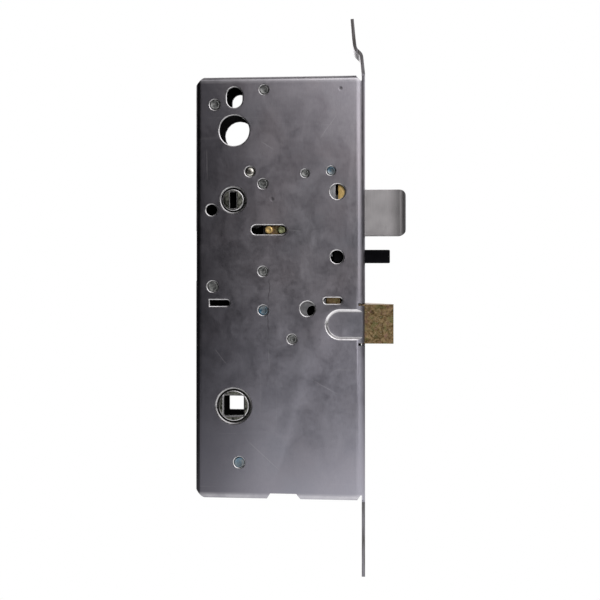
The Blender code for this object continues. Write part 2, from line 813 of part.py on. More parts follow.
def build_deadbolt_tail():
    """A folded plate: a long web with the drive notch, a bridge over the top, a short cheek."""
    along = math.radians(45)
    notch_x = TURN_AT[0] + TURN_ARM_RADIUS * math.sin(along)
    notch_floor = TURN_AT[1] - TURN_ARM_RADIUS - TURN_PIN_RADIUS - 0.4
    half = TURN_PIN_RADIUS + 0.65
    front, rear = notch_x + half, notch_x - half
    top, low = 85.5, 61.2
    cheek_rear, cheek_front = -18.5, -11.2
    outline = [
        (-3.5, 66.0),
        (-3.5, 81.0),
        (cheek_front, 81.0),
        (cheek_front, top),
        (cheek_rear, top),
        (cheek_rear, 76.0),
        (-24.0, 72.6),
        (front, 72.6),
        (front, notch_floor + 1.0),
        (front - 1.0, notch_floor),
        (rear + 1.0, notch_floor),
        (rear, notch_floor + 1.0),
        (rear, 71.6),
        (rear - 2.2, 71.6),
        (rear - 2.2, low),
        (-14.0, low),
        (-11.5, 66.0),
    ]
    holes = [circle(place, RIVET_RADIUS + GAP) for place in TAIL_RIVETS.values()]
    tail = as_mesh(plate("deadbolt_tail", [outline] + holes, DEADBOLT_TAIL_Y, "steel"))
    near = INNER_NEAR + 0.45
    bridge_high = (cheek_front, DEADBOLT_TAIL_Y[0] + 0.5, top)
    bridge = cutter_block("tail_bridge", (cheek_rear, near, top - 1.2), bridge_high)
    cheek_high = (cheek_front, near + 1.1, top)
    join(bridge, cutter_block("tail_cheek", (cheek_rear, near, 76.4), cheek_high))
    join(tail, bridge)
    return tail


def build_thumb_turn():
    """The hub with its key slot, the arm on it, and the pin that drives the deadbolt's tail."""
    face, body = TURN_FACE_RADIUS, TURN_BODY_RADIUS
    low, high = INNER_NEAR + GAP, INNER_FAR - GAP
    profile = [
        (0.0, NEAR + 0.3),
        (face - 0.3, NEAR + 0.3),
        (face, NEAR + 0.6),
        (face, low),
        (body, low),
        (body, high),
        (face, high),
        (face, FAR - 0.6),
        (face - 0.3, FAR - 0.3),
        (0.0, FAR - 0.3),
    ]
    hub = turned_y("thumb_turn_hub", profile, TURN_AT, "hub")
    x, z = TURN_AT
    width, height = TURN_SLOT
    for side, start in (("near", NEAR - 1), ("far", FAR + 1 - TURN_SLOT_DEPTH)):
        cut(hub, cutter_block(f"turn_slot_{side}", (x - width / 2, start, z - height / 2),
                              (x + width / 2, start + TURN_SLOT_DEPTH, z + height / 2)))
    along = math.radians(45)
    tip = (x + TURN_ARM_RADIUS * math.sin(along), z - TURN_ARM_RADIUS * math.cos(along))
    root, end = body + GAP, TURN_PIN_RADIUS + 1.0
    outline = arc(*TURN_AT, root + 2.0, -12, 282, 16)
    outline += arc(*tip, end, 235, 395, 8)
    arm = as_mesh(plate("thumb_turn_arm", [outline, circle(TURN_AT, root)], TURN_ARM_Y, "steel"))
    arm_near, arm_far = TURN_ARM_Y
    neck = 1.0
    pin_profile = [
        (0.0, arm_near - 0.8),
        (neck + 0.8, arm_near - 0.8),
        (neck + 0.8, arm_near - GAP),
        (neck, arm_near - GAP),
        (neck, arm_far + GAP),
        (TURN_PIN_RADIUS, arm_far + GAP),
        (TURN_PIN_RADIUS, DEADBOLT_TAIL_Y[1] + 0.6),
        (0.0, DEADBOLT_TAIL_Y[1] + 0.6),
    ]
    pin = turned_y("thumb_turn_drive_pin", pin_profile, tip, "zinc", 16)
    cut(arm, rod_cutter("drive_pin_hole", (tip[0], arm_near - 1, tip[1]), "Y", neck + GAP, 5))
    return [hub, arm, pin]


def build_detent_spring():
    """A leaf that presses on the thumb turn's hub, bowed over it and hooked at both ends."""
    x, z = TURN_AT
    reach = TURN_BODY_RADIUS + GAP + 0.25
    path = [(-61.6, 90.6), (-60.8, 88.6)]
    path += [(x - 5.5, z + reach + 1.1), (x - 2.5, z + reach + 0.15), (x, z + reach)]
    path += [(x + 2.0, z + reach + 0.25), (x + 3.4, z + reach + 1.4)]
    return plate("detent_spring", [offset_strip(path, 0.5)], DETENT_SPRING_Y, "spring")


# ---- Guard bolt and deadlock lever ------------------------------------------------------------
GUARD_STEP_X = -12.0
GUARD_ROD_END = -33.5
GUARD_ROD_RADIUS = 1.3
GUARD_GUIDE_X = (-29.6, -28.2)


def build_guard():
    """The black guard bolt with a round tail, its guide, and its spring."""
    low, high = GUARD_Z
    near, far = GUARD_Y
    y, z = (near + far) / 2, DEADLOCK_FOOT[1]
    step, end, radius = GUARD_STEP_X, GUARD_ROD_END, GUARD_ROD_RADIUS
    bolt = block("guard_bolt", (step, near, low), (GUARD_NOSE, far, high), "black", 0.3, 1)
    join(bolt, rod_cutter("guard_rod", (end, y, z), "X", radius, step - end + 1))
    rear, front = GUARD_GUIDE_X
    guide_high = (front, INNER_FAR - GAP, 60.2)
    guide = block("guard_guide", (rear, near, 54.2), guide_high, "zinc", 0.3, 1)
    cut(guide, rod_cutter("guard_guide_hole", (rear - 1, y, z), "X", radius + GAP, 4))
    points = coil_x(front + 0.7, step - 0.7, y, z, 2.1, 7)
    wire("guard_spring", points, 0.3, "spring")
    return bolt


def build_deadlock_lever():
    """A hanging lever with two brass pins; its foot rests on the guard bolt's tail."""
    x, z = DEADLOCK_PIVOT
    rim = POSTS["post_deadlock_pivot"][1]
    bore = rim / 2 + POST_BODY_EXTRA + GAP
    foot_x, foot_z = DEADLOCK_FOOT
    outline = arc(x, z, 4.0, -30, 190, 14)
    outline += [(x - 3.4, z - 4.0), (x - 1.0, 70.8), (x + 0.9, 68.6)]
    outline += [(x + 0.9, 65.4), (x + 0.4, 62.6)]
    outline += arc(foot_x, foot_z, 2.4, 170, 350, 10)
    outline += [(-33.7, 62.0), (-31.6, 64.9)]
    outline += arc(*DEADLOCK_PINS["deadlock_pin_front"][0], 1.75, -60, 70, 6)
    outline += [(-33.8, 71.0), (-35.2, 74.5)]
    outlines = [outline, circle(DEADLOCK_PIVOT, bore)]
    pieces = [plate("deadlock_lever", outlines, DEADLOCK_Y, "dichromate")]
    foot = DEADLOCK_Y[0] - GAP
    for name, (place, radius, tip, finish) in DEADLOCK_PINS.items():
        profile = [
            (0.0, tip),
            (radius - 0.3, tip),
            (radius, tip + 0.3),
            (radius, foot),
            (0.0, foot),
        ]
        pieces.append(turned_y(name, profile, place, finish, 16))
    return pieces


# ---- Latchbolt and lever hub ------------------------------------------------------------------
LATCH_REAR = -14.0
LATCH_SHOULDER = 2.7             # the shoulder stands this far above the bolt
LATCH_TAIL_Y = (-5.2, -3.8)
LATCH_RIVET_AT = (-11.4, 29.4)
LATCH_RIVET_RADIUS = 1.1
LATCH_AXIS = (1.4, 31.2)         # y and z of the latch stem and spring
STEM_RADIUS = 1.3
SPRING_SEAT_X = (-36.0, -34.4)
LUG_PLAY = 0.5
LUG_FACE = -BACKSET + LEVER_ARM_RADIUS * math.sin(LEVER_ARM_REST) - LEVER_TIP_RADIUS - LUG_PLAY
LUG_Z = 14.0


def build_latch():
    """Bevelled latchbolt, its tail down to the lever hub, a rivet and a stem with a spring."""
    rivet_radius = LATCH_RIVET_RADIUS
    outline = [
        (-8.9, 26.2),
        (-8.9, 33.8),
        (-15.0, 33.8),
        (-15.0, 40.8),
        (-25.4, 40.8),
        (-25.4, 33.7),
        (LUG_FACE - 3.0, 33.7),
        (LUG_FACE - 3.0, LUG_Z),
        (LUG_FACE, LUG_Z),
        (LUG_FACE, 26.4),
        (LUG_FACE + 2.0, 28.4),
        (-14.2, 28.4),
        (-12.6, 26.2),
    ]
    holes = [circle((-19.9, 35.9), 2.3), circle(LATCH_RIVET_AT, rivet_radius + GAP)]
    tail = plate("latch_tail", [outline] + holes, LATCH_TAIL_Y, "steel")
    profile = [
        (0.0, -5.9),
        (rivet_radius + 0.6, -5.9),
        (rivet_radius + 0.9, -5.55),
        (rivet_radius, LATCH_TAIL_Y[0] - GAP),
        (rivet_radius, -0.8),
        (0.0, -0.8),
    ]
    rivet = turned_y("latch_rivet", profile, LATCH_RIVET_AT, "zinc", 16)
    front, rear = -10.1, -38.0
    stem_profile = [
        (0.0, front),
        (STEM_RADIUS, front),
        (STEM_RADIUS, rear + 0.4),
        (STEM_RADIUS - 0.3, rear),
        (0.0, rear),
    ]
    stem = turned_x("latch_stem", stem_profile, LATCH_AXIS, "zinc", 16)
    return [build_latch_head(), tail, rivet, stem]


def build_latch_head():
    """The bevelled bolt with a stop shoulder, a rebate for its tail, and holes for rivet and stem."""
    low, high = LATCH_Z
    half = BOLT_HALF_WIDTH
    outline = [
        (LATCH_REAR, -half),
        (LATCH_NOSE, -half),
        (LATCH_NOSE, -half + 2.6),
        (0.9, half),
        (LATCH_REAR, half),
    ]
    curve = outline_curve("latch_head", [outline], high - low)
    head = as_mesh(add_piece("latch_head", curve, "dichromate", (0.0, 0.0, (low + high) / 2)))
    shoulder_high = (-9.4, half, high + LATCH_SHOULDER)
    join(head, cutter_block("latch_shoulder", (-14.6, -half, high - 1), shoulder_high))
    rebate_low = (LATCH_REAR - 1, -half - 1, low - 1)
    rebate_high = (-8.6, LATCH_TAIL_Y[1] + GAP, 35.0)
    cut(head, cutter_block("latch_rebate", rebate_low, rebate_high))
    x, z = LATCH_RIVET_AT
    rivet_bore = LATCH_RIVET_RADIUS + GAP
    cut(head, rod_cutter("latch_rivet_hole", (x, -5.0, z), "Y", rivet_bore, 4.6))
    stem_start = (LATCH_REAR - 1, *LATCH_AXIS)
    cut(head, rod_cutter("latch_stem_hole", stem_start, "X", STEM_RADIUS + GAP, 5.3))
    return head


def build_latch_spring():
    """The latch's compression spring and the bracket that it pushes against."""
    y, z = LATCH_AXIS
    rear, front = SPRING_SEAT_X
    half = 3.2
    seat_high = (front, INNER_FAR - GAP, z + half)
    seat = block("spring_seat", (rear, y - half, z - half), seat_high, "zinc", 0.3, 1)
    cut(seat, rod_cutter("seat_hole", (rear - 1, y, z), "X", STEM_RADIUS + 0.35, 4))
    points = coil_x(front + 0.75, LATCH_REAR - 0.75, y, z, 2.3, 8)
    wire("latch_spring", points, 0.35, "spring")


def build_lever_hub():
    """The follower with a square hole, and the arm that draws the latch back."""
    face, body = LEVER_FACE_RADIUS, LEVER_BODY_RADIUS
    low, high = INNER_NEAR + GAP, INNER_FAR - GAP
    profile = [
        (0.0, NEAR + 0.35),
        (face - 0.4, NEAR + 0.35),
        (face, NEAR + 0.75),
        (face, low),
        (body, low),
        (body, high),
        (face, high),
        (face, FAR - 0.75),
        (face - 0.4, FAR - 0.35),
        (0.0, FAR - 0.35),
    ]
    hub = turned_y("lever_hub", profile, LEVER_AT, "hub", 24)
    x, z = LEVER_AT
    tilt = LEVER_ARM_REST
    tip = (x + LEVER_ARM_RADIUS * math.sin(tilt), z + LEVER_ARM_RADIUS * math.cos(tilt))
    start = -math.degrees(tilt)
    outline = arc(*tip, LEVER_TIP_RADIUS, start, start + 180, 10)
    outline += arc(x, z, 1.5, start + 180, start + 360, 6)
    arm = as_mesh(plate("lever_arm_form", [outline], (LATCH_TAIL_Y[0] - 0.6, 1.0), "hub"))
    join(hub, as_helper(arm))
    lobe = cutter_block("lever_lobe", (x - 2.2, -1.0, z - 11.4), (x + 2.2, 5.4, z - 4))
    join(hub, lobe)
    half, rim = SPINDLE_SQUARE / 2, SPINDLE_SQUARE / 2 + SPINDLE_CHAMFER
    near, far = NEAR + 0.35, FAR - 0.35
    square = [
        (near - 1, rim),
        (near, rim),
        (near + SPINDLE_CHAMFER, half),
        (far - SPINDLE_CHAMFER, half),
        (far, rim),
        (far + 1, rim),
    ]
    rings = [(y, rectangle(x - h, z - h, x + h, z + h)) for y, h in square]
    cut(hub, cutters_from("spindle_hole", [rings]))
    return hub


def build_lever_spring():
    """A torsion spring on the bottom post; its leg stands beside the lobe under the lever hub."""
    x, z = POSTS["post_bottom"][0]
    radius = 3.4
    turns, per_turn = 4, 12
    low, high = 0.4, 4.8
    points = [(x - 9.0, low, z - radius), (x - 4.0, low, z - radius)]
    count = turns * per_turn + per_turn // 4
    for i in range(count + 1):
        angle = -math.pi / 2 + math.tau * i / per_turn
        y = low + (high - low) * i / count
        points.append((x + radius * math.cos(angle), y, z + radius * math.sin(angle)))
    points.append((x + radius + 0.1, high, z + 3.0))
    points.append((x + radius + 0.1, high, -6.0 - 3.2))
    return wire("lever_spring", points, 0.45, "spring")


# ---- Assembly ---------------------------------------------------------------------------------
clear_scene()
PARTS = new_collection("mortise_lock")
CUTTERS = new_collection("cutters")

FINISHES = {
    "case": ((0.17, 0.165, 0.18), 0.42, 1.0),
    "steel": ((0.42, 0.42, 0.44), 0.4, 1.0),
    "zinc": ((0.33, 0.33, 0.33), 0.42, 1.0),
    "blue_zinc": ((0.25, 0.33, 0.42), 0.38, 1.0),
    "bright_zinc": ((0.62, 0.6, 0.55), 0.3, 1.0),
    "hub": ((0.25, 0.25, 0.23), 0.38, 1.0),
    "stainless": ((0.46, 0.45, 0.46), 0.32, 1.0),
    "brass": ((0.72, 0.47, 0.16), 0.35, 1.0),
    "dull_brass": ((0.42, 0.4, 0.2), 0.45, 1.0),
    "dichromate": ((0.52, 0.4, 0.22), 0.38, 1.0),
    "black": ((0.008, 0.008, 0.009), 0.5, 0.0),
    "spring": ((0.3, 0.3, 0.32), 0.35, 1.0),
}

build_case_shell()
build_cover()
build_posts()
build_screws()
build_detent_spring()
build_lever_spring()
build_latch_spring()

group(mover("deadbolt_mover", 0, 0, sum(DEADBOLT_Z) / 2), build_deadbolt())
group(mover("thumb_turn_mover", TURN_AT[0], 0, TURN_AT[1]), build_thumb_turn())
group(mover("guard_mover", 0, sum(GUARD_Y) / 2, sum(GUARD_Z) / 2), [build_guard()])
group(mover("deadlock_mover", DEADLOCK_PIVOT[0], 0, DEADLOCK_PIVOT[1]), build_deadlock_lever())
group(mover("latch_mover", 0, 0, sum(LATCH_Z) / 2), build_latch())
group(mover("lever_mover", LEVER_AT[0], 0, LEVER_AT[1]), [build_lever_hub()])
smooth_round_pieces()
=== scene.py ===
"""The visual model of a mortise lock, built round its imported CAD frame.

Lengths are in millimetres and MM turns them into metres. The frame has its origin on the outer
face of the case's front, level with the lever spindle: +X out of the door's edge, +Y away from
the side with the staked posts, +Z up.
"""

import math
from functools import partial

import bmesh
import bpy
from mathutils import Matrix, Vector


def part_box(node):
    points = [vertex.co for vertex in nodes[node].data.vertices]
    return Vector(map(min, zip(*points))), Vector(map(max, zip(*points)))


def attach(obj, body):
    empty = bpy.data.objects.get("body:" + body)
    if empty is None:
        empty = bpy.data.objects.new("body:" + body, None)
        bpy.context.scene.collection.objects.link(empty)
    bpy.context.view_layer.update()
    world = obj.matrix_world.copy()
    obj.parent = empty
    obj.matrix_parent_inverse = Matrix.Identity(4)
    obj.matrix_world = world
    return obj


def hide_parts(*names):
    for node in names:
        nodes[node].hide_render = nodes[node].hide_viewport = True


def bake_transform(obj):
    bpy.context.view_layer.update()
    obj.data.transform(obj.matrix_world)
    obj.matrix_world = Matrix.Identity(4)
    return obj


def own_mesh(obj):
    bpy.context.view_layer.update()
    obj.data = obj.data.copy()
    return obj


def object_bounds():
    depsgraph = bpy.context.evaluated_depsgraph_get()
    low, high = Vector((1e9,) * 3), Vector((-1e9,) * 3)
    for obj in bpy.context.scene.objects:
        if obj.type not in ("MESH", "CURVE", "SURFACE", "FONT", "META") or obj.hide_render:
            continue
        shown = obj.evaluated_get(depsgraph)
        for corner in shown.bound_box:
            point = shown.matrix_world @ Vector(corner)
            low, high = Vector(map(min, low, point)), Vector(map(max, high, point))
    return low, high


MM = 0.001
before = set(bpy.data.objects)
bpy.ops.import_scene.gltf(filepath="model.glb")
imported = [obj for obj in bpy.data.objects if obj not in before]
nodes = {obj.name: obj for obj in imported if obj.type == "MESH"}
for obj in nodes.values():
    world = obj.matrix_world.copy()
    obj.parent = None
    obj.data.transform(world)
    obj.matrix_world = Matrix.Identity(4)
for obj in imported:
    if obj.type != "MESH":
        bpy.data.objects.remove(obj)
cad_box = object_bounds()


# ---- Sizes from the CAD frame -----------------------------------------------------------------
def box_mm(node):
    """A CAD node's lowest and highest corners, in millimetres."""
    low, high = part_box(node)
    return low / MM, high / MM


def centre_xz(node):
    """The middle of a CAD node seen from the side, in millimetres."""
    low, high = box_mm(node)
    return ((low.x + high.x) / 2, (low.z + high.z) / 2)


shell_low, shell_high = box_mm("case_shell")
cover_low, cover_high = box_mm("cover_plate")
NEAR, FAR = shell_low.y, shell_high.y
CASE_REAR = shell_low.x
CASE_TOP = cover_high.z + 0.1
CASE_BOTTOM = cover_low.z - 0.1
SHEET = 1.25
INNER_NEAR, INNER_FAR = NEAR + SHEET, FAR - SHEET
GAP = 0.3

# outer radii of the pan's bends
FRONT_BEND, REAR_BEND, END_BEND = 3.4, 2.6, 2.0

# how far the mouths of holes, of the posts' holes and of the hubs' holes are rolled over
RIM, POST_RIM, HUB_RIM = 0.45, 0.4, 0.7

# the cut rear corners, and the notch in the bottom: its ends at the edge and at its inner end
CORNER_CUT = 3.4
NOTCH_MOUTH = (-38.7, -22.9)
NOTCH_END = (-36.0, -26.0)

# the two mounting tabs: half their width, how far they lap over the case, and the upper one's
# path of (x, z) above it
TAB_HALF = 6.0
TAB_LAP = 2.6
UPPER_TAB = (
    (-0.86, 128.6),
    (-1.1, 131.0),
    (-1.35, 133.0),
    (-1.6, 133.7),
    (-1.95, 134.2),
    (-2.6, 134.8),
    (-3.2, 135.4),
    (-3.6, 136.0),
    (-3.85, 136.8),
    (-4.2, 139.5),
    (-4.9, 147.2),
)

# diameters of the post ends in the side plate, rolled mouths included
POSTS = {
    "post_top_rear": 4.8,
    "post_top": 4.4,
    "post_deadlock_pivot": 4.6,
    "post_deadbolt_rear": 3.9,
    "post_deadbolt_front": 4.2,
    "post_centre": 4.6,
    "post_rear": 5.0,
    "post_latch_rear": 4.7,
    "post_latch_lower": 4.5,
    "post_bottom": 5.0,
}
BLUE_POSTS = ("post_deadbolt_front", "post_latch_rear", "post_bottom")

# round holes in the side plate, each an (x, z) place, a radius and its rolled mouth
LEVER_AT = (-50.0, 0.0)
TURN_AT = (-50.2, 78.5)
LONG_SCREW_AT = centre_xz("cover_screw_long")
ROUND_HOLES = (
    ((-10.4, 81.5), 2.9, RIM),
    ((-58.5, 74.7), 2.15, RIM),
    ((-10.6, 56.8), 2.5, RIM),
    ((-21.8, 37.1), 2.85, RIM),
    ((-49.8, 105.0), 5.8, RIM),
    (LONG_SCREW_AT, 1.9, RIM),
    (LEVER_AT, 6.5, HUB_RIM),
    (TURN_AT, 4.7, HUB_RIM),
)

# slots, each an (x, z) place, a length and a height
OVAL_HOLE = ((-49.7, 117.6), 6.1, 7.8)
PIN_SLOT = ((-36.5, 67.1), 13.4, 3.6)
REAR_SLOT = ((-55.4, 39.2), 7.7, 2.4)
LATCH_SLOT = ((-12.2, 40.2), 7.2, 2.4)

# the pressed pocket beside the latch: heights, rear end, depth and how far its wall leans in
POCKET_LOW, POCKET_HIGH = 25.4, 37.0
POCKET_MIDDLE = (POCKET_LOW + POCKET_HIGH) / 2
POCKET_RADIUS = (POCKET_HIGH - POCKET_LOW) / 2
POCKET_REAR = -15.1
POCKET_DEPTH, POCKET_LEAN = 0.7, 1.25

# the front's screw holes, each a height and a radius; the first two are in the tabs
FRONT_HOLES = ((142.2, 2.5), (-55.0, 2.5), (117.0, 1.7), (-27.0, 1.7))

# the gap round the bolts in the front, where the latch's opening ends, and its two relief cuts
BOLT_GAP = 0.4
LATCH_SHOULDER = 38.8
RELIEF_HEIGHTS = (LATCH_SHOULDER, 23.7)

# heights between which the rear flange is set in slightly
REAR_STEP = (47.6, 66.8)


# ---- Node materials ---------------------------------------------------------------------------
class Finish:
    """A node material made step by step, with object-space places in metres."""

    def __init__(self, name, metallic=1.0, ior=1.45):
        self.material = bpy.data.materials.new(name)
        self.material.use_nodes = True
        self.tree = self.material.node_tree
        self.surface = self.tree.nodes["Principled BSDF"]
        self.surface.inputs["Metallic"].default_value = metallic
        self.surface.inputs["IOR"].default_value = ior
        self.place = self.add("TexCoord").outputs["Object"]

    def add(self, kind):
        return self.tree.nodes.new("ShaderNode" + kind)

    def connect(self, value, socket):
        if isinstance(value, bpy.types.NodeSocket):
            self.tree.links.new(value, socket)
        elif hasattr(value, "__len__") and len(value) == 3 and socket.type == "RGBA":
            socket.default_value = (*value, 1.0)
        else:
            socket.default_value = value

    def noise(self, scale, detail=3.0, stretch=(1, 1, 1), distortion=0.0, shift=0.0):
        mapping = self.add("Mapping")
        mapping.inputs["Scale"].default_value = stretch
        mapping.inputs["Location"].default_value = (shift, shift * 0.7, -shift)
        self.connect(self.place, mapping.inputs["Vector"])
        made = self.add("TexNoise")
        self.connect(mapping.outputs[0], made.inputs["Vector"])
        made.inputs["Scale"].default_value = scale
        made.inputs["Detail"].default_value = detail
        made.inputs["Distortion"].default_value = distortion
        return made.outputs["Fac"]

    def maths(self, operation, a, b=0.0):
        made = self.add("Math")
        made.operation = operation
        self.connect(a, made.inputs[0])
        self.connect(b, made.inputs[1])
        return made.outputs[0]

    def span(self, value, low, high, to_low=0.0, to_high=1.0, smooth=False):
        made = self.add("MapRange")
        made.interpolation_type = "SMOOTHSTEP" if smooth else "LINEAR"
        self.connect(value, made.inputs["Value"])
        made.inputs["From Min"].default_value = low
        made.inputs["From Max"].default_value = high
        made.inputs["To Min"].default_value = to_low
        made.inputs["To Max"].default_value = to_high
        return made.outputs["Result"]

    def blend(self, share, a, b):
        made = self.add("Mix")
        made.data_type = "RGBA"
        self.connect(share, made.inputs["Factor"])
        self.connect(a, made.inputs[6])
        self.connect(b, made.inputs[7])
        return made.outputs[2]

    def axis(self, letter):
        made = self.add("SeparateXYZ")
        self.connect(self.place, made.inputs[0])
        return made.outputs["XYZ".index(letter)]

    def streak(self, start, end, width, ragged=0.35):
        """How strongly a thin mark shows from start to end, two (x, z) places in millimetres."""
        (ax, az), (bx, bz) = start, end
        length = math.hypot(bx - ax, bz - az)
        ux, uz = (bx - ax) / length, (bz - az) / length
        x = self.maths("SUBTRACT", self.axis("X"), ax * MM)
        z = self.maths("SUBTRACT", self.axis("Z"), az * MM)
        along = self.maths("ADD", self.maths("MULTIPLY", x, ux), self.maths("MULTIPLY", z, uz))
        across = self.maths("SUBTRACT", self.maths("MULTIPLY", x, uz), self.maths("MULTIPLY", z, ux))
        wander = self.span(self.noise(220, 2), 0.3, 0.7, -width * ragged * MM, width * ragged * MM)
        across = self.maths("ABSOLUTE", self.maths("ADD", across, wander))
        body = self.span(across, 0.0, width * MM, 1.0, 0.0, smooth=True)
        rise = self.span(along, 0.0, length * 0.25 * MM, 0.0, 1.0, smooth=True)
        fall = self.span(along, length * 0.6 * MM, length * MM, 1.0, 0.0, smooth=True)
        return self.maths("MULTIPLY", body, self.maths("MULTIPLY", rise, fall))

    def spot(self, place, radius):
        """A soft round mark at an (x, z) place in millimetres."""
        x = self.maths("SUBTRACT", self.axis("X"), place[0] * MM)
        z = self.maths("SUBTRACT", self.axis("Z"), place[1] * MM)
        square = self.maths("ADD", self.maths("MULTIPLY", x, x), self.maths("MULTIPLY", z, z))
        return self.span(self.maths("SQRT", square), 0.0, radius * MM, 1.0, 0.0, smooth=True)

    def inside_case(self):
        """1 on the faces inside the case, where the case steel is painted near-black as shade, and 0 on
        its outer faces.
        """
        share = None
        room = {
            "X": (CASE_REAR + SHEET - 0.1, -SHEET + 0.1),
            "Y": (INNER_NEAR - 0.1, INNER_FAR + 0.1),
            "Z": (CASE_BOTTOM + SHEET - 0.1, CASE_TOP - SHEET + 0.1),
        }
        for letter, (low, high) in room.items():
            at = self.axis(letter)
            here = self.maths("MULTIPLY", self.maths("GREATER_THAN", at, low * MM),
                              self.maths("LESS_THAN", at, high * MM))
            share = here if share is None else self.maths("MULTIPLY", share, here)
        return share

    def finish(self, colour, roughness, height=None, strength=0.2, distance=0.1, edge=0.0):
        """Connects colour, roughness and relief; distance and edge are in millimetres."""
        self.connect(colour, self.surface.inputs["Base Color"])
        self.connect(roughness, self.surface.inputs["Roughness"])
        normal = None
        if edge:
            rounded = self.add("Bevel")
            rounded.samples = 4
            rounded.inputs["Radius"].default_value = edge * MM
            normal = rounded.outputs[0]
        if height is not None:
            bump = self.add("Bump")
            bump.inputs["Strength"].default_value = strength
            bump.inputs["Distance"].default_value = distance * MM
            self.connect(height, bump.inputs["Height"])
            if normal is not None:
                self.connect(normal, bump.inputs["Normal"])
            normal = bump.outputs[0]
        if normal is not None:
            self.connect(normal, self.surface.inputs["Normal"])
        return self.material


def painted_near_side_shade(f, colour):
    """Painted shade: a cool shade on the low part, and on the near side a dark rear, a dark rear bend
    and the tabs' dark near edges.
    """
    # painted cool shade, stronger towards the bottom
    low = f.span(f.axis("Z"), 62.0 * MM, 5.0 * MM, 0.0, 0.45, smooth=True)
    colour = f.blend(low, colour, (0.195, 0.198, 0.238))
    skin = f.span(f.axis("Y"), (NEAR + 0.4) * MM, (NEAR + 3.0) * MM, 1.0, 0.0)
    # painted shade darkening the near side towards the rear
    rear = f.span(f.axis("X"), (CASE_REAR + 0.8) * MM, -33.0 * MM, 0.68, 0.0, smooth=True)
    colour = f.blend(f.maths("MULTIPLY", rear, skin), colour, (0.05, 0.048, 0.058))
    # painted shade on the tabs' near edges, streaked by noise
    tabs = f.maths("MAXIMUM", f.maths("GREATER_THAN", f.axis("Z"), (CASE_TOP + 0.6) * MM),
                   f.maths("LESS_THAN", f.axis("Z"), (CASE_BOTTOM - 0.6) * MM))
    tabs = f.maths("MULTIPLY", tabs, f.maths("LESS_THAN", f.axis("Y"), (0.3 - TAB_HALF) * MM))
    streaky = f.span(f.noise(500, 3, (3, 1, 0.15), shift=0.6), 0.35, 0.65, 0.35, 0.95)
    colour = f.blend(f.maths("MULTIPLY", tabs, streaky), colour, (0.045, 0.042, 0.036))
    # painted shade on the near side's rear bend
    bend = f.span(f.axis("X"), CASE_REAR * MM, (CASE_REAR + 3.2) * MM, 0.8, 0.0, smooth=True)
    return f.blend(f.maths("MULTIPLY", bend, skin), colour, (0.03, 0.029, 0.033))


def painted_bend_highlight(f, smudge):
    """How far the top and bottom bends are lightened, a painted highlight along them."""
    top = f.span(f.axis("Z"), (CASE_TOP - 3.0) * MM, (CASE_TOP - 1.6) * MM)
    bottom = f.span(f.axis("Z"), (CASE_BOTTOM + 2.8) * MM, (CASE_BOTTOM + 1.6) * MM)
    outside = f.span(f.axis("Y"), (NEAR + 0.5) * MM, (NEAR + 1.1) * MM, 0.6, 0.0)
    painted_highlight = f.maths("MULTIPLY", f.maths("MAXIMUM", top, bottom), outside)
    return f.maths("MULTIPLY", painted_highlight, f.span(smudge, 0.35, 0.6, 0.5, 1.0))


def scratches(f):
    """How strongly pale scratches show: eight longer ones, and fine hairs both ways."""
    marks = f.streak((-39.7, 101.0), (-34.0, 97.2), 0.32)
    for start, end, width in (
        ((-28.9, 67.0), (-22.6, 66.7), 0.4),
        ((-36.6, 23.0), (-36.2, 12.6), 0.3),
        ((-60.2, 99.0), (-60.0, 84.5), 0.3),
        ((-20.4, 10.5), (-8.8, 4.2), 0.25),
        ((-46.0, -12.0), (-30.5, -26.0), 0.22),
        ((-17.5, 101.0), (-9.5, 112.0), 0.25),
        ((-57.5, 22.0), (-52.0, 15.0), 0.25),
    ):
        marks = f.maths("MAXIMUM", marks, f.streak(start, end, width))
    sideways = f.span(f.noise(420, 2, (0.06, 1, 1.6), 0.1, 0.5), 0.7, 0.76, 0.0, 0.3)
    upright = f.span(f.noise(380, 2, (1.7, 1, 0.05), 0.1, 1.4), 0.71, 0.77, 0.0, 0.25)
    return f.maths("MAXIMUM", marks, f.maths("MAXIMUM", sideways, upright))


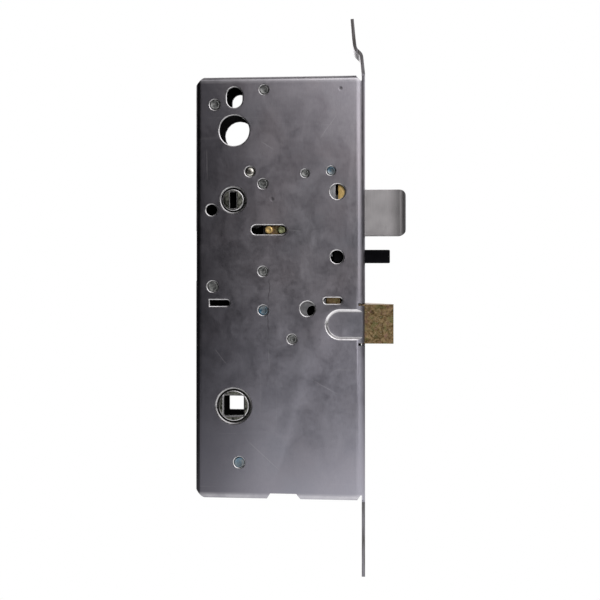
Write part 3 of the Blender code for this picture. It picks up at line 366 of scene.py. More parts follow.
def sheet_steel():
    """Cold-rolled sheet: satin grey with a mauve cast, soft smudges, fine grain and scratches, with
    painted shade and painted highlights laid over them.
    """
    f = Finish("case_steel")
    cloud = f.noise(34, 4, (1, 1, 0.7), 0.6, 0.31)
    smudge = f.noise(115, 4, (1, 1, 0.8), 0.9, 0.77)
    speck = f.noise(620, 3, (1, 1, 1), 0.2, 0.12)
    grain = f.noise(2600, 2, (1, 1, 0.25))
    tone = f.maths("ADD", f.span(cloud, 0.3, 0.7, -0.32, 0.32), f.span(smudge, 0.3, 0.7, -0.38, 0.38))
    tone = f.maths("ADD", tone, f.span(speck, 0.3, 0.7, -0.2, 0.2))
    tone = f.maths("ADD", tone, f.span(grain, 0.3, 0.7, -0.15, 0.15))
    colour = f.blend(f.span(tone, -0.8, 0.8), (0.18, 0.17, 0.19), (0.255, 0.243, 0.263))
    warm = f.span(f.noise(58, 3, shift=1.9), 0.45, 0.75, 0.0, 0.4)
    colour = f.blend(warm, colour, (0.235, 0.205, 0.215))
    cool = f.span(f.noise(46, 3, shift=2.7), 0.52, 0.8, 0.0, 0.35)
    colour = f.blend(cool, colour, (0.17, 0.185, 0.21))
    # painted shade on the low part and on the near side's rear, rear bend and tab edges
    colour = painted_near_side_shade(f, colour)
    # painted highlight along the top and bottom bends
    colour = f.blend(painted_bend_highlight(f, smudge), colour, (0.42, 0.41, 0.43))
    dark = f.maths("MAXIMUM", f.streak((-36.1, 49.5), (-36.6, 38.4), 0.3, 1.4),
                   f.streak((-37.4, 37.0), (-36.4, 26.0), 0.3, 1.4))
    colour = f.blend(f.maths("MULTIPLY", dark, 0.6), colour, (0.05, 0.047, 0.052))
    marks = scratches(f)
    colour = f.blend(f.maths("MULTIPLY", marks, 0.3), colour, (0.36, 0.35, 0.36))
    dents = f.maths("MAXIMUM", f.spot((-35.2, 78.7), 1.1), f.spot((-9.3, 120.5), 1.0))
    # the dents are also darkened in colour: painted shade in their hollows
    colour = f.blend(f.maths("MULTIPLY", dents, 0.7), colour, (0.05, 0.048, 0.05))
    inside = f.inside_case()
    # painted shade: the faces inside the case turn near-black
    colour = f.blend(inside, colour, (0.022, 0.021, 0.022))
    gloss = f.maths("ADD", smudge, f.span(speck, 0.3, 0.7, -0.1, 0.1))
    roughness = f.span(gloss, 0.2, 0.8, 0.3, 0.44)
    roughness = f.maths("ADD", roughness, f.maths("MULTIPLY", inside, 0.25))
    height = f.maths("ADD", f.maths("MULTIPLY", grain, 0.16), f.maths("MULTIPLY", cloud, 0.3))
    height = f.maths("SUBTRACT", height, f.maths("MULTIPLY", marks, 0.25))
    height = f.maths("SUBTRACT", height, f.maths("MULTIPLY", dents, 1.6))
    return f.finish(colour, roughness, height, 0.35, 0.12, 0.12)


def painted_rim_finish():
    """The rolled and sheared rims of punched holes, also used on chamfers, hub edges and the pocket's
    wall: light near the face, burnish with a painted highlight, and darker deeper in as painted shade.
    """
    f = Finish("rim_highlight_and_shade")
    # painted shade: darker deeper into the hole
    depth = f.span(f.axis("Y"), (NEAR + 0.25) * MM, (NEAR + 0.95) * MM, 0.0, 1.0, smooth=True)
    ripple = f.noise(900, 3, (1, 1, 1))
    # painted highlight near the face
    bright = f.blend(f.span(ripple, 0.35, 0.7), (0.40, 0.39, 0.40), (0.56, 0.55, 0.56))
    colour = f.blend(depth, bright, (0.1, 0.098, 0.1))
    roughness = f.span(ripple, 0.3, 0.7, 0.26, 0.4)
    return f.finish(colour, roughness, ripple, 0.25, 0.04)


def plated(name, dark, light, rough=(0.3, 0.46), scale=700, strength=0.3, painted_inner_shade=False):
    """A plated or cast small part, mottled and slightly rounded; with the inner-shade flag its part
    inside the case is painted black and dull, as shade.
    """
    f = Finish(name)
    mottle = f.noise(scale, 4, (1, 1, 1), 0.6, 0.4)
    fine = f.noise(scale * 5, 2)
    colour = f.blend(f.span(mottle, 0.32, 0.68), dark, light)
    colour = f.blend(f.span(fine, 0.3, 0.7, 0.0, 0.3), colour, [c * 0.6 for c in dark])
    if painted_inner_shade:
        # painted shade: inside the case the part turns black, dull and not metallic
        unshaded = f.span(f.maths("ABSOLUTE", f.axis("Y")), 6.6 * MM, 7.5 * MM)
        colour = f.blend(unshaded, (0.004, 0.004, 0.004), colour)
        f.connect(unshaded, f.surface.inputs["Metallic"])
        f.connect(f.maths("MULTIPLY", unshaded, 0.5), f.surface.inputs["Specular IOR Level"])
    roughness = f.span(mottle, 0.3, 0.7, *rough)
    height = f.maths("ADD", mottle, f.maths("MULTIPLY", fine, 0.4))
    return f.finish(colour, roughness, height, strength, 0.06, 0.12)


def brushed(name, dark, light, stretch, rough=(0.28, 0.4), edge=0.2, nose=None):
    """Machined or brushed metal, its grain along one axis; in the x range nose its colour darkens, a
    painted shade where the bolt's nose curves away.
    """
    f = Finish(name)
    grain = f.noise(3000, 3, stretch)
    broad = f.noise(170, 3, (1, 1, 1), 0.4, 0.8)
    level = f.maths("ADD", f.span(grain, 0.3, 0.7, -0.25, 0.25), f.span(broad, 0.3, 0.7, 0.15, 0.85))
    colour = f.blend(level, dark, light)
    if nose is not None:
        # painted shade darkening the bolt's rounded nose
        painted_nose_shade = f.span(f.axis("X"), nose[0] * MM, nose[1] * MM, 0.0, 0.85, smooth=True)
        colour = f.blend(painted_nose_shade, colour, [c * 0.2 for c in dark])
    roughness = f.span(f.maths("ADD", broad, f.maths("MULTIPLY", grain, 0.3)), 0.4, 0.9, *rough)
    return f.finish(colour, roughness, grain, 0.18, 0.03, edge)


def dichromate_plate():
    """Yellow dichromate on zinc: gold-brown with drifting pink and green, and pale specks where the
    plating is rubbed through.
    """
    f = Finish("dichromate")
    drift = f.noise(330, 3, (1, 1, 1), 1.2, 0.2)
    patch = f.noise(860, 4, (1, 1, 1), 0.8, 1.1)
    speck = f.noise(2600, 3)
    colour = f.blend(f.span(patch, 0.34, 0.66), (0.10, 0.066, 0.028), (0.27, 0.19, 0.10))
    pink = f.span(drift, 0.54, 0.68, 0.0, 0.55, smooth=True)
    colour = f.blend(pink, colour, (0.24, 0.13, 0.11))
    green = f.span(drift, 0.46, 0.34, 0.0, 0.6, smooth=True)
    colour = f.blend(green, colour, (0.12, 0.13, 0.05))
    colour = f.blend(f.span(speck, 0.6, 0.75, 0.0, 0.6), colour, (0.42, 0.36, 0.26))
    roughness = f.span(patch, 0.3, 0.7, 0.34, 0.5)
    height = f.maths("ADD", patch, f.maths("MULTIPLY", speck, 0.5))
    return f.finish(colour, roughness, height, 0.4, 0.06, 0.2)


def black_polymer():
    """A near-black finish with a fine moulded texture and slightly polished edges."""
    f = Finish("black", metallic=0.0, ior=1.5)
    fine = f.noise(1500, 3)
    rub = f.noise(240, 3, (0.4, 1, 1), 0.3, 0.9)
    colour = f.blend(f.span(rub, 0.45, 0.75), (0.002, 0.002, 0.0026), (0.005, 0.005, 0.0064))
    f.surface.inputs["Specular IOR Level"].default_value = 0.015
    return f.finish(colour, f.span(fine, 0.3, 0.7, 0.42, 0.6), fine, 0.25, 0.04, 0.15)


FINISHES = {
    "case_steel": sheet_steel(),
    "rim_highlight_and_shade": painted_rim_finish(),
    "plain_steel": brushed("plain_steel", (0.34, 0.34, 0.355), (0.52, 0.52, 0.53), (1, 1, 0.08)),
    "zinc_plate": plated(
        "zinc_plate", (0.085, 0.09, 0.088), (0.27, 0.27, 0.265), (0.34, 0.5), 900, 0.5
    ),
    "blue_zinc": plated(
        "blue_zinc", (0.05, 0.12, 0.18), (0.27, 0.27, 0.26), (0.34, 0.5), 420, 0.5
    ),
    "bright_zinc": plated(
        "bright_zinc", (0.2, 0.19, 0.17), (0.72, 0.7, 0.64), (0.22, 0.36), 420, 1.0
    ),
    "hub_zinc": plated(
        # the hubs' parts inside the case painted black as shade
        "hub_zinc", (0.014, 0.016, 0.012), (0.25, 0.25, 0.215), (0.3, 0.5), 800, 1.0, painted_inner_shade=True
    ),
    "stainless": brushed(
        "stainless", (0.30, 0.288, 0.292), (0.36, 0.347, 0.35), (1, 1, 0.06), (0.36, 0.48),
        # the deadbolt's nose darkened as painted shade
        nose=(8.2, 14.8),
    ),
    "brass": brushed("brass", (0.5, 0.31, 0.09), (0.85, 0.62, 0.27), (1, 1, 0.1)),
    "dull_brass": plated("dull_brass", (0.17, 0.19, 0.09), (0.42, 0.44, 0.26)),
    "dichromate": dichromate_plate(),
    "black": black_polymer(),
    "spring_steel": brushed(
        "spring_steel", (0.16, 0.16, 0.17), (0.4, 0.4, 0.42), (0.3, 1, 1), edge=0.0
    ),
}

NODE_FINISH = {
    "case_steel": ("case_shell", "cover_plate"),
    "plain_steel": ("deadbolt_tail", "latch_tail", "thumb_turn_arm"),
    "zinc_plate": (
        "post_top_rear", "post_top", "post_deadlock_pivot", "post_deadbolt_rear", "post_centre",
        "post_rear", "post_latch_lower", "cover_screw_top_rear", "cover_screw_deadbolt_front",
        "cover_screw_rear", "cover_screw_bottom", "guard_guide", "spring_seat", "deadbolt_dowel",
        "deadbolt_rivet_upper", "deadbolt_rivet_lower", "thumb_turn_drive_pin", "latch_rivet",
        "latch_stem",
    ),
    "blue_zinc": BLUE_POSTS,
    "bright_zinc": ("cover_screw_long",),
    "hub_zinc": ("thumb_turn_hub", "lever_hub"),
    "stainless": ("deadbolt_head",),
    "brass": ("deadbolt_block", "deadlock_pin_rear"),
    "dull_brass": ("deadlock_pin_front",),
    "dichromate": ("deadlock_lever", "latch_head"),
    "black": ("guard_bolt",),
    "spring_steel": ("detent_spring", "lever_spring", "guard_spring", "latch_spring"),
}
for finish_name, members in NODE_FINISH.items():
    for member in members:
        for member_slot in nodes[member].material_slots:
            member_slot.material = FINISHES[finish_name]


# ---- Mesh helpers -----------------------------------------------------------------------------
ROUND = 48


def arc(x, z, radius, start, end, steps):
    """Points on an arc, its two ends included; angles in degrees, anticlockwise."""
    points = []
    for i in range(steps + 1):
        angle = math.radians(start + (end - start) * i / steps)
        points.append((x + radius * math.cos(angle), z + radius * math.sin(angle)))
    return points


def circle(place, radius, grow=0.0):
    return arc(*place, radius + grow, 0, 360, ROUND)[:-1]


def obround(place, length, height, grow=0.0):
    x, z = place
    radius = min(length, height) / 2 + grow
    reach = abs(length - height) / 2
    half = ROUND // 2
    if length >= height:
        return arc(x + reach, z, radius, -90, 90, half) + arc(x - reach, z, radius, 90, 270, half)
    return arc(x, z + reach, radius, 0, 180, half) + arc(x, z - reach, radius, 180, 360, half)


def half_open_slot(place, length, height, grow=0.0):
    """A slot with a square rear end and a round front end."""
    x, z = place
    radius = height / 2 + grow
    nose = x + length / 2 - height / 2
    rear = x - length / 2 - grow
    return arc(nose, z, radius, -90, 90, 16) + [(rear, z + radius), (rear, z - radius)]


def loft(bm, rings, materials=None):
    """A closed form through rings of (y, outline), given as the finish number of each band.

    The first and last numbers are also those of the two ends.
    """
    made = []
    for y, outline in rings:
        made.append([bm.verts.new((x * MM, y * MM, z * MM)) for x, z in outline])
    count = len(made[0])
    for band, (low, high) in enumerate(zip(made, made[1:])):
        for i in range(count):
            after = (i + 1) % count
            face = bm.faces.new((low[i], low[after], high[after], high[i]))
            face.material_index = materials[band] if materials else 0
    for ring, index in ((made[0], 0), (made[-1], -1)):
        bm.faces.new(ring).material_index = materials[index] if materials else 0


def new_object(name, mesh):
    made = bpy.data.objects.new(name, mesh)
    bpy.context.scene.collection.objects.link(made)
    return made


def object_from(name, bm, finishes):
    """Turns a bmesh into an object with these finishes in its slots."""
    mesh = bpy.data.meshes.new(name)
    bm.to_mesh(mesh)
    bm.free()
    for finish in finishes:
        mesh.materials.append(FINISHES[finish])
    return new_object(name, mesh)


def form(name, lofts, finishes):
    """An object from several lofts, each (rings, band materials)."""
    bm = bmesh.new()
    for rings, materials in lofts:
        loft(bm, rings, materials)
    bmesh.ops.recalc_face_normals(bm, faces=bm.faces)
    return object_from(name, bm, finishes)


def plate(name, outline, near, far, finish):
    """An outline in (x, z) given a thickness from near to far."""
    return form(name, [([(near, outline), (far, outline)], None)], [finish])


def block(name, low, high, finish):
    outline = [(low[0], low[2]), (high[0], low[2]), (high[0], high[2]), (low[0], high[2])]
    return plate(name, outline, low[1], high[1], finish)


def bar(name, start, radius, length, finish):
    """A round bar along +X."""
    bm = bmesh.new()
    bmesh.ops.create_cone(
        bm, cap_ends=True, segments=ROUND, radius1=radius * MM, radius2=radius * MM, depth=length * MM
    )
    turn = Matrix.Rotation(math.pi / 2, 4, "Y")
    middle = Vector(start) * MM + Vector((length / 2 * MM, 0, 0))
    bmesh.ops.transform(bm, matrix=Matrix.Translation(middle) @ turn, verts=bm.verts)
    return object_from(name, bm, [finish])


def combine(piece, tools):
    """Applies unions and differences in order, then removes the tools."""
    for operation, tool in tools:
        boolean = piece.modifiers.new(tool.name, "BOOLEAN")
        boolean.operation = operation
        boolean.object = tool
        boolean.solver = "EXACT"
        boolean.material_mode = "TRANSFER"
    bpy.context.view_layer.update()
    evaluated = piece.evaluated_get(bpy.context.evaluated_depsgraph_get())
    mesh = bpy.data.meshes.new_from_object(evaluated)
    piece.modifiers.clear()
    piece.data = mesh
    for _, tool in tools:
        bpy.data.objects.remove(tool, do_unlink=True)


def smooth(piece):
    """Shades smoothly across all but clear corners."""
    piece.data.shade_smooth()
    piece.data.set_sharp_from_angle(angle=math.radians(32))


def stand_for(piece, node, body):
    """Rides a new piece on a body in place of a CAD node."""
    smooth(piece)
    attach(piece, body)
    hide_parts(node)


# ---- Case shell -------------------------------------------------------------------------------
def punched(outline, rim=RIM):
    """A hole in the side plate with its mouth rolled over; outline takes how far it is grown."""
    rings = [(NEAR - 1, outline(rim))]
    for step in range(5):
        angle = math.radians(90 * step / 4)
        rings.append((NEAR + rim * math.sin(angle), outline(rim * math.cos(angle))))
    rings.append((INNER_NEAR + 1, outline(0.0)))
    return rings, None


def shell_holes():
    """Every hole and slot of the side plate, as one tool."""
    rounds = [(centre_xz(name), size / 2 - POST_RIM, POST_RIM) for name, size in POSTS.items()]
    rounds += ROUND_HOLES
    lofts = [punched(partial(circle, place, radius), rim) for place, radius, rim in rounds]
    lofts += [punched(partial(obround, *slot)) for slot in (PIN_SLOT, LATCH_SLOT, OVAL_HOLE)]
    lofts.append(punched(partial(half_open_slot, *REAR_SLOT)))
    return form("shell_holes", lofts, ["rim_highlight_and_shade"])


def pocket_outline(front, rear, radius, steps):
    """Round at the rear end and open at the front, level with the latch."""
    return [(front, POCKET_MIDDLE + radius), *arc(rear, POCKET_MIDDLE, radius, 90, 270, steps),
            (front, POCKET_MIDDLE - radius)]


def shell_pocket():
    """The pocket's room outside the plate, with a wall that eases into both faces."""
    def outline(grow):
        return pocket_outline(3.0, POCKET_REAR + POCKET_RADIUS, POCKET_RADIUS + grow, 28)

    steps = 8
    mouth = 0.1
    rings = [(NEAR - 1, outline(mouth))]
    for step in range(steps + 1):
        share = step / steps
        drop = POCKET_DEPTH * (3 * share ** 2 - 2 * share ** 3)
        rings.append((NEAR + drop, outline(mouth - POCKET_LEAN * share)))
    # the pocket's wall takes the rim finish: a painted highlight near the face and painted shade deeper
    # in
    bands = [1] * len(rings)
    bands[-1] = 0
    return form("shell_pocket", [(rings, bands)], ["case_steel", "rim_highlight_and_shade"])


def shell_corners():
    """What is cut from the pan's corners and from the middle of its bottom."""
    rear, top, bottom, cut, out = CASE_REAR, CASE_TOP, CASE_BOTTOM, CORNER_CUT, 2.0
    outlines = (
        [(rear - out, top - cut - out), (rear + cut + out, top + out), (rear - out, top + out)],
        [(rear - out, bottom - out), (rear + cut + out, bottom - out),
         (rear - out, bottom + cut + out)],
        [(NOTCH_MOUTH[0], bottom - out), (NOTCH_MOUTH[1], bottom - out),
         (NOTCH_END[1], bottom + 2.5), (NOTCH_END[0], bottom + 2.5)],
        [(-3.3, top + out), (-3.3, top - 0.6), (-1.9, top - 2.3), (-SHEET, top - 2.3),
         (-SHEET, top + out)],
        [(-3.0, bottom - out), (-SHEET, bottom - out), (-SHEET, bottom + 2.3),
         (-1.8, bottom + 2.3), (-3.0, bottom + 0.4)],
    )
    lofts = [([(NEAR - 1, outline), (FAR + 1, outline)], None) for outline in outlines]
    return form("shell_corners", lofts, ["case_steel"])


def bend_radius(edge):
    """The outer radius of a bend of the pan, and none for the edges across the thickness."""
    a, b = (vert.co / MM for vert in edge.verts)
    if max(a.y, b.y) > NEAR + 0.1:
        return 0.0
    if abs(a.z - b.z) < 0.1:
        return END_BEND
    return FRONT_BEND if a.x > -0.1 else REAR_BEND


def folded_pan():
    """The open pan: a side plate with flanges on all four sides, bent round wide outer radii."""
    bm = bmesh.new()
    bmesh.ops.create_cube(bm, size=1.0)
    size = (-CASE_REAR * MM, (FAR - NEAR) * MM, (CASE_TOP - CASE_BOTTOM) * MM)
    bmesh.ops.scale(bm, vec=size, verts=bm.verts)
    middle = (CASE_REAR / 2 * MM, (NEAR + FAR) / 2 * MM, (CASE_TOP + CASE_BOTTOM) / 2 * MM)
    bmesh.ops.translate(bm, vec=middle, verts=bm.verts)
    open_side = [face for face in bm.faces if face.calc_center_median().y > (FAR - 0.1) * MM]
    bmesh.ops.delete(bm, geom=open_side, context="FACES_ONLY")
    weight = bm.edges.layers.float.new("bevel_weight_edge")
    for edge in bm.edges:
        edge[weight] = bend_radius(edge) / FRONT_BEND
    pan = object_from("case_shell_detail", bm, ["case_steel"])
    bends = pan.modifiers.new("bends", "BEVEL")
    bends.width = FRONT_BEND * MM
    bends.segments = 10
    bends.limit_method = "WEIGHT"
    solid = pan.modifiers.new("sheet", "SOLIDIFY")
    solid.thickness = SHEET * MM
    solid.offset = -1.0
    solid.use_even_offset = True
    return pan


def upper_tab():
    """The upper tab, a strip of sheet joggled towards the rear."""
    middle = -SHEET / 2
    path = [(middle, CASE_TOP - TAB_LAP), (middle, CASE_TOP + 0.5), *UPPER_TAB]
    left, right = [], []
    for i, (x, z) in enumerate(path):
        before, after = path[max(i - 1, 0)], path[min(i + 1, len(path) - 1)]
        dx, dz = after[0] - before[0], after[1] - before[1]
        half = SHEET / 2 / math.hypot(dx, dz)
        left.append((x - dz * half, z + dx * half))
        right.append((x + dz * half, z - dx * half))
    return plate("upper_tab", right + left[::-1], -TAB_HALF, TAB_HALF, "case_steel")


def front_openings():
    """An opening in the front for each bolt, with a gap round it."""
    tools = []
    for i, bolt in enumerate(("deadbolt_head", "guard_bolt", "latch_head")):
        low, high = box_mm(bolt)
        top = LATCH_SHOULDER if bolt == "latch_head" else high.z
        corner = (1, high.y + BOLT_GAP, top + BOLT_GAP)
        tools.append(block(
            f"opening_{i}", (-2.25, low.y - BOLT_GAP, low.z - BOLT_GAP), corner, "case_steel"
        ))
    for i, z in enumerate(RELIEF_HEIGHTS):
        tools.append(block(
            f"relief_{i}", (-2.5, NEAR - 1, z - 0.5), (1, -5, z + 0.5), "case_steel"
        ))
    for i, (z, radius) in enumerate(FRONT_HOLES):
        tools.append(bar(f"front_hole_{i}", (-8, 0, z), radius, 12, "rim_highlight_and_shade"))
    return tools


def build_shell():
    pan = folded_pan()
    pad_radius = POCKET_RADIUS + 0.2
    pad = plate("pad", pocket_outline(-3.4, POCKET_REAR + pad_radius, pad_radius, 20),
                INNER_NEAR - 0.3, INNER_NEAR + 0.7, "case_steel")
    rebate = block("rebate", (CASE_REAR - 1, INNER_FAR - GAP, CASE_BOTTOM - 1),
                   (-SHEET - GAP / 2, FAR + 1, CASE_TOP + 1), "case_steel")
    step = block("step", (CASE_REAR - 1, NEAR - 1, REAR_STEP[0]),
                 (CASE_REAR + 0.3, FAR + 1, REAR_STEP[1]), "case_steel")
    lower_tab = block("lower_tab", (-SHEET, -TAB_HALF, shell_low.z),
                      (0, TAB_HALF, CASE_BOTTOM + TAB_LAP), "case_steel")
    cuts = [shell_holes(), shell_pocket(), shell_corners(), rebate, step]
    tools = [("UNION", pad)]
    tools += [("DIFFERENCE", cut) for cut in cuts]
    tools += [("UNION", upper_tab()), ("UNION", lower_tab)]
    tools += [("DIFFERENCE", opening) for opening in front_openings()]
    combine(pan, tools)
    stand_for(pan, "case_shell", "case")


build_shell()


# ---- Posts, screw, pins and hubs --------------------------------------------------------------
def turned(name, profile, place, finishes, painted_highlight=()):
    """A piece turned about Y through place (x, z), from a profile of (radius, y).

    The bands of the profile listed in the last argument have the second finish; on the hubs that is the
    rims' painted highlight.
    """
    bm = bmesh.new()
    rings = []
    for radius, y in profile:
        outline = circle(place, max(radius, 0.02))
        rings.append([bm.verts.new((x * MM, y * MM, z * MM)) for x, z in outline])
    for band, (low, high) in enumerate(zip(rings, rings[1:])):
        for i in range(ROUND):
            after = (i + 1) % ROUND
            face = bm.faces.new((low[i], low[after], high[after], high[i]))
            face.material_index = 1 if band in painted_highlight else 0
    bm.faces.new(rings[0])
    bm.faces.new(rings[-1])
    bmesh.ops.recalc_face_normals(bm, faces=bm.faces)
    return object_from(name, bm, finishes)


def rounded(radius, y, soft, rise):
    """A corner of a profile, at radius and y, eased over soft; rise is +1 where y grows inwards."""
    points = []
    for step in range(5):
        angle = math.radians(90 * step / 4)
        points.append((radius - soft + soft * math.sin(angle), y + rise * soft * (1 - math.cos(angle))))
    return points


def build_posts():
    """Staked posts: each end is dished in its middle and spread into a soft rim."""
    for name, size in POSTS.items():
        low, high = box_mm(name)
        face = low.y
        end = size / 2 - POST_RIM - 0.2
        body = (high.x - low.x) / 2
        bore, bore_end = 1.5, high.y - 6.0
        profile = [(0.0, face + 0.14), (end * 0.4, face + 0.13), (end * 0.72, face + 0.08)]
        profile += rounded(end, face, 0.22, 1)
        profile += [(end, INNER_NEAR + GAP), (body, INNER_NEAR + GAP), (body, high.y - 0.15)]
        profile += [(body - 0.15, high.y), (bore, high.y), (bore, bore_end), (0.0, bore_end)]
        finish = "blue_zinc" if name in BLUE_POSTS else "zinc_plate"
        post = turned(name + "_staked", profile, centre_xz(name), [finish])
        stand_for(post, name, "case")


def build_long_screw():
    """The screw that runs through the case, with rolled threads near its tip."""
    low, high = box_mm("cover_screw_long")
    tip, head = low.y, high.y
    crest, root, shank, head_radius, pitch = 1.58, 1.3, 1.2, 2.3, 0.5
    profile = [(0.0, tip + 0.05), (1.0, tip), (root, tip + 0.12)]
    y = tip + 0.3
    while y < INNER_NEAR + 2.6:
        profile += [(crest, y), (crest, y + 0.12), (root, y + 0.28), (root, y + 0.34)]
        y += pitch
    profile += [(shank, INNER_NEAR + 3.4), (shank, head - 1.1), (head_radius, head - 0.06)]
    profile += [(head_radius - 0.06, head), (0.0, head)]
    screw = turned("long_screw", profile, LONG_SCREW_AT, ["bright_zinc"])
    x, z = LONG_SCREW_AT
    slot = block("long_screw_slot", (x - 3, head - 0.6, z - 0.35), (x + 3, head + 1, z + 0.35),
                 "bright_zinc")
    combine(screw, [("DIFFERENCE", slot)])
    stand_for(screw, "cover_screw_long", "case")


def build_pins():
    """The deadlock lever's two headless pins, with eased ends."""
    for name, finish in (("deadlock_pin_rear", "brass"), ("deadlock_pin_front", "dull_brass")):
        low, high = box_mm(name)
        radius = (high.x - low.x) / 2
        profile = [(0.0, low.y + 0.12), (radius * 0.4, low.y + 0.06)]
        profile += rounded(radius, low.y, 0.35, 1) + [(radius, high.y), (0.0, high.y)]
        pin = turned(name + "_turned", profile, centre_xz(name), [finish])
        stand_for(pin, name, "deadlock")


def turned_hub(name, place, journal, body):
    """A hub with journals in both sheets, their near edge lightened as a painted highlight, and a
    thicker middle.
    """
    near, far = box_mm(name)[0].y, box_mm(name)[1].y
    low, high = INNER_NEAR + GAP, INNER_FAR - GAP
    profile = [(0.0, near)] + rounded(journal, near, 0.35, 1)
    profile += [(journal, low), (body - 0.15, low), (body, low + 0.15), (body, high - 0.15)]
    profile += [(body - 0.15, high), (journal, high)]
    profile += rounded(journal, far, 0.35, -1)[::-1] + [(0.0, far)]
    # the near edge's rounded bands take the rim finish, a painted highlight
    return turned(name + "_turned", profile, place, ["hub_zinc", "rim_highlight_and_shade"], painted_highlight=(1, 2, 3))


def build_thumb_turn_hub():
    """The hub that the thumb turn's flat tail enters, with a chamfered slot at each end."""
    low, high = box_mm("thumb_turn_hub")
    x, z = TURN_AT
    hub = turned_hub("thumb_turn_hub", TURN_AT, 4.15, 5.2)
    clear, half_width, half_height = 0.7, 1.3, 3.1
    slot, chamfer = (0.0, 5.7, "hub_zinc"), (0.25, 0.95, "rim_highlight_and_shade")
    cuts = []
    for side in ("near", "far"):
        for grow, depth, finish in (slot, chamfer):
            begin = low.y - clear if side == "near" else high.y + clear - depth
            wide, tall = half_width + grow, half_height + grow
            cut = block(f"turn_slot_{side}_{depth}", (x - wide, begin, z - tall),
                        (x + wide, begin + depth, z + tall), finish)
            cuts.append(("DIFFERENCE", cut))
    combine(hub, cuts)
    stand_for(hub, "thumb_turn_hub", "thumb_turn")


def rounded_square(place, half):
    """A square outline with eased corners."""
    soft = 0.4
    inner = half - soft
    points = []
    for across, up, start in ((1, 1, 0), (-1, 1, 90), (-1, -1, 180), (1, -1, 270)):
        x, z = place[0] + across * inner, place[1] + up * inner
        points += arc(x, z, soft, start, start + 90, 5)
    return points


def build_lever_hub():
    """The follower: a square hole with eased corners, an arm that draws the latch, and a lobe."""
    low, high = box_mm("lever_hub")
    x, z = LEVER_AT
    hub = turned_hub("lever_hub", LEVER_AT, 5.85, 8.6)
    tilt = math.radians(20)
    reach = 15.35
    tip = (x + reach * math.sin(tilt), z + reach * math.cos(tilt))
    outline = arc(*tip, 2.0, -20, 160, 20) + arc(x, z, 1.5, 160, 340, 8)
    arm = plate("hub_arm", outline, -5.8, 1.0, "hub_zinc")
    lobe = block("hub_lobe", (x - 2.2, -1.0, z - 11.4), (x + 2.2, 5.4, z - 4), "hub_zinc")
    hole, mouth = rounded_square(LEVER_AT, 3.8), rounded_square(LEVER_AT, 4.3)
    rings = [(low.y - 1, mouth), (low.y, mouth), (low.y + 0.5, hole),
             (high.y - 0.5, hole), (high.y, mouth), (high.y + 1, mouth)]
    spindle = form("spindle_hole", [(rings, [0, 1, 0, 1, 0])], ["hub_zinc", "rim_highlight_and_shade"])
    combine(hub, [("UNION", arm), ("UNION", lobe), ("DIFFERENCE", spindle)])
    stand_for(hub, "lever_hub", "lever")


build_posts()
build_long_screw()
build_pins()
build_thumb_turn_hub()
build_lever_hub()


# ---- Springs ----------------------------------------------------------------------------------
PER_TURN = 28


def tube(name, spine, wire):
    """A round wire, of radius wire, along a spine of points in millimetres."""
    sides = 10
    last = len(spine) - 1
    up = Vector((0, 0, 1))
    bm = bmesh.new()
    rings = []
    for i, point in enumerate(spine):
        ahead = (spine[min(i + 1, last)] - spine[max(i - 1, 0)]).normalized()
        up = (up - ahead * up.dot(ahead)).normalized()
        side = ahead.cross(up)
        ring = []
        for k in range(sides):
            angle = math.tau * k / sides
            place = point + (up * math.cos(angle) + side * math.sin(angle)) * wire
            ring.append(bm.verts.new(place * MM))
        rings.append(ring)
    for a, b in zip(rings, rings[1:]):
        for k in range(sides):
            bm.faces.new((a[k], a[(k + 1) % sides], b[(k + 1) % sides], b[k]))
    bm.faces.new(rings[0])
    bm.faces.new(rings[-1])
    bmesh.ops.recalc_face_normals(bm, faces=bm.faces)
    return object_from(name, bm, ["spring_steel"])


def coil(name, start, end, y, z, radius, turns, wire):
    """A compression spring about an axis along X, with a closed turn at each end."""
    pitch = (end - start - 6 * wire) / (turns - 2)
    spine = []
    for i in range(int(turns * PER_TURN) + 1):
        turn = i / PER_TURN
        closed = min(turn, 1.0) + max(turn - (turns - 1), 0.0)
        x = start + wire + closed * 2 * wire + (turn - closed) * pitch
        angle = math.tau * turn
        spine.append(Vector((x, y + radius * math.cos(angle), z + radius * math.sin(angle))))
    return tube(name, spine, wire)


def spring_in_place(name, node, turns, wire):
    """A coil in a CAD spring's box."""
    low, high = box_mm(node)
    y, z = (low.y + high.y) / 2, (low.z + high.z) / 2
    radius = (high.z - low.z) / 2 - wire
    piece = coil(name, low.x, high.x, y, z, radius, turns, wire)
    stand_for(piece, node, "case")
    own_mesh(piece)


def build_lever_spring():
    """A torsion spring on the bottom post, with a free leg."""
    wire, radius, turns = 0.45, 3.4, 4.25
    low, high = box_mm("lever_spring")
    near, far = low.y + wire, high.y - wire
    x, z = centre_xz("post_bottom")
    spine = [Vector((x - reach, near, z - radius)) for reach in (9.0, 7.0, 5.0, 3.0, 1.0)]
    count = int(turns * PER_TURN)
    for i in range(count + 1):
        angle = math.tau * i / PER_TURN - math.pi / 2
        y = near + (far - near) * i / count
        spine.append(Vector((x + radius * math.cos(angle), y, z + radius * math.sin(angle))))
    leg = x + radius
    steps = 24
    for step in range(1, steps + 1):
        spine.append(Vector((leg, far, z + (high.z - z) * step / steps)))
    piece = tube("lever_spring_coil", spine, wire)
    smooth(piece)
    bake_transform(piece)
    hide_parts("lever_spring")


build_lever_spring()
spring_in_place("latch_spring_coil", "latch_spring", 9.5, 0.35)
spring_in_place("guard_spring_coil", "guard_spring", 8.5, 0.3)


# ---- Floor, light and camera ------------------------------------------------------------------
# the pool of light on the floor: its middle, its radius, its strength and that of the rest
POOL_AT = (0.11, -0.09, 0.0)
POOL_RADIUS = 0.42
POOL_STRENGTH, FLOOR_STRENGTH = 2.3, 0.03

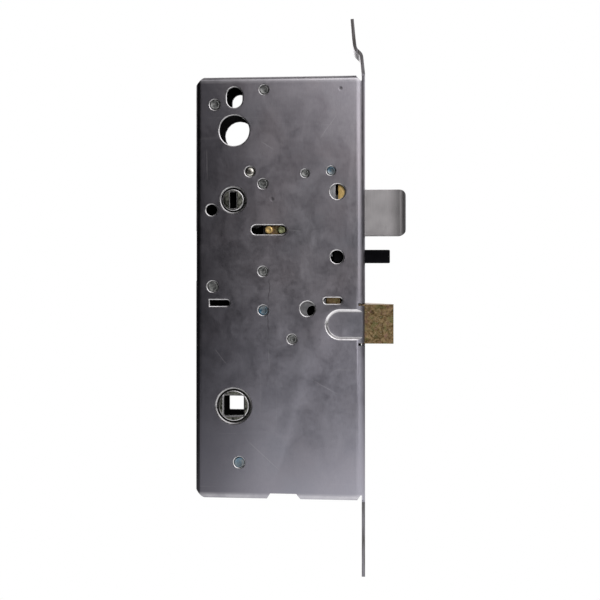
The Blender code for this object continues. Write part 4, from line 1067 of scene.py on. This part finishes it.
# direction the light comes from, cosine where it starts and where it is full, strength
STUDIO = (
    ((0.32, -1.0, 0.56), 0.88, 0.99, 2.6),
    ((0.74, -1.0, 0.05), 0.89, 0.99, 1.9),
    ((0.25, -0.8, 1.0), 0.75, 0.97, 1.0),
    ((1.0, -0.25, 0.25), 0.80, 0.97, 0.12),
    ((0.4, 1.0, 0.4), 0.30, 0.90, 1.7),
    ((-0.7, 0.9, 0.3), 0.80, 0.97, 1.3),
)
STUDIO_BASE = 0.012


def white_to_camera(tree, kind, lit, output):
    """Sends the lit shader to the output, and plain white of the same kind to camera rays."""
    white = tree.nodes.new(kind)
    white.inputs["Color"].default_value = (1, 1, 1, 1)
    white.inputs["Strength"].default_value = 1.0
    seen = tree.nodes.new("ShaderNodeLightPath")
    mix = tree.nodes.new("ShaderNodeMixShader")
    tree.links.new(seen.outputs["Is Camera Ray"], mix.inputs[0])
    tree.links.new(lit.outputs[0], mix.inputs[1])
    tree.links.new(white.outputs[0], mix.inputs[2])
    end = tree.nodes.new(output)
    tree.links.new(mix.outputs[0], end.inputs["Surface"])


def eased(tree, value, start, full, to_low, to_high):
    """A smooth rise of value from start to full."""
    made = tree.nodes.new("ShaderNodeMapRange")
    made.interpolation_type = "SMOOTHSTEP"
    tree.links.new(value, made.inputs["Value"])
    made.inputs["From Min"].default_value = start
    made.inputs["From Max"].default_value = full
    made.inputs["To Min"].default_value = to_low
    made.inputs["To Max"].default_value = to_high
    return made.outputs["Result"]


def floor_material():
    """White to the camera; to the object a grey floor with one pool of light in front of it."""
    material = bpy.data.materials.new("pale_floor")
    material.use_nodes = True
    tree = material.node_tree
    tree.nodes.clear()
    place = tree.nodes.new("ShaderNodeTexCoord")
    away = tree.nodes.new("ShaderNodeVectorMath")
    away.operation = "DISTANCE"
    tree.links.new(place.outputs["Object"], away.inputs[0])
    away.inputs[1].default_value = POOL_AT
    pool = eased(tree, away.outputs["Value"], 0.0, POOL_RADIUS, POOL_STRENGTH, FLOOR_STRENGTH)
    lit = tree.nodes.new("ShaderNodeEmission")
    tree.links.new(pool, lit.inputs["Strength"])
    white_to_camera(tree, "ShaderNodeEmission", lit, "ShaderNodeOutputMaterial")
    return material


def pale_floor():
    bm = bmesh.new()
    bmesh.ops.create_grid(bm, x_segments=8, y_segments=8, size=30.0)
    floor = object_from("floor", bm, [])
    floor.location = (0, 0, cad_box[0].z - 0.0002)
    floor.data.materials.append(floor_material())


def studio_world():
    """White to the camera; soft panels of light and darker gaps to everything else."""
    world = bpy.data.worlds.new("studio")
    world.use_nodes = True
    tree = world.node_tree
    tree.nodes.clear()
    place = tree.nodes.new("ShaderNodeTexCoord")
    total = None
    for direction, start, full, strength in STUDIO:
        facing = tree.nodes.new("ShaderNodeVectorMath")
        facing.operation = "DOT_PRODUCT"
        tree.links.new(place.outputs["Generated"], facing.inputs[0])
        facing.inputs[1].default_value = Vector(direction).normalized()
        summed = tree.nodes.new("ShaderNodeMath")
        panel = eased(tree, facing.outputs["Value"], start, full, 0.0, strength)
        tree.links.new(panel, summed.inputs[0])
        if total is None:
            summed.inputs[1].default_value = STUDIO_BASE
        else:
            tree.links.new(total, summed.inputs[1])
        total = summed.outputs[0]
    panels = tree.nodes.new("ShaderNodeBackground")
    tree.links.new(total, panels.inputs["Strength"])
    panels.inputs["Color"].default_value = (1.0, 0.985, 0.99, 1)
    white_to_camera(tree, "ShaderNodeBackground", panels, "ShaderNodeOutputWorld")
    bpy.context.scene.world = world


def area_light(name, place, aim, size, power):
    data = bpy.data.lights.new(name, "AREA")
    data.shape = "RECTANGLE"
    data.size, data.size_y = size
    data.energy = power
    lamp = bpy.data.objects.new(name, data)
    lamp.location = place
    lamp.rotation_euler = (Vector(aim) - Vector(place)).to_track_quat("-Z", "Y").to_euler()
    bpy.context.scene.collection.objects.link(lamp)


def photo_camera():
    """A level camera close to the side plate, in line with the front's edge."""
    data = bpy.data.cameras.new("camera")
    data.lens = 52.7
    data.sensor_width = 36.0
    data.shift_y = -0.067
    data.clip_start = 0.01
    data.clip_end = 100.0
    camera = bpy.data.objects.new("camera", data)
    camera.location = (0.00008, NEAR * MM - 0.332, 0.0557)
    camera.rotation_euler = (math.pi / 2, 0, math.radians(4.25))
    bpy.context.scene.collection.objects.link(camera)
    bpy.context.scene.camera = camera


pale_floor()
studio_world()
area_light("key", (0.45, -0.9, 0.35), (-0.02, 0, 0.04), (0.6, 0.8), 1.2)
photo_camera()
bpy.context.scene.view_settings.view_transform = "Standard"
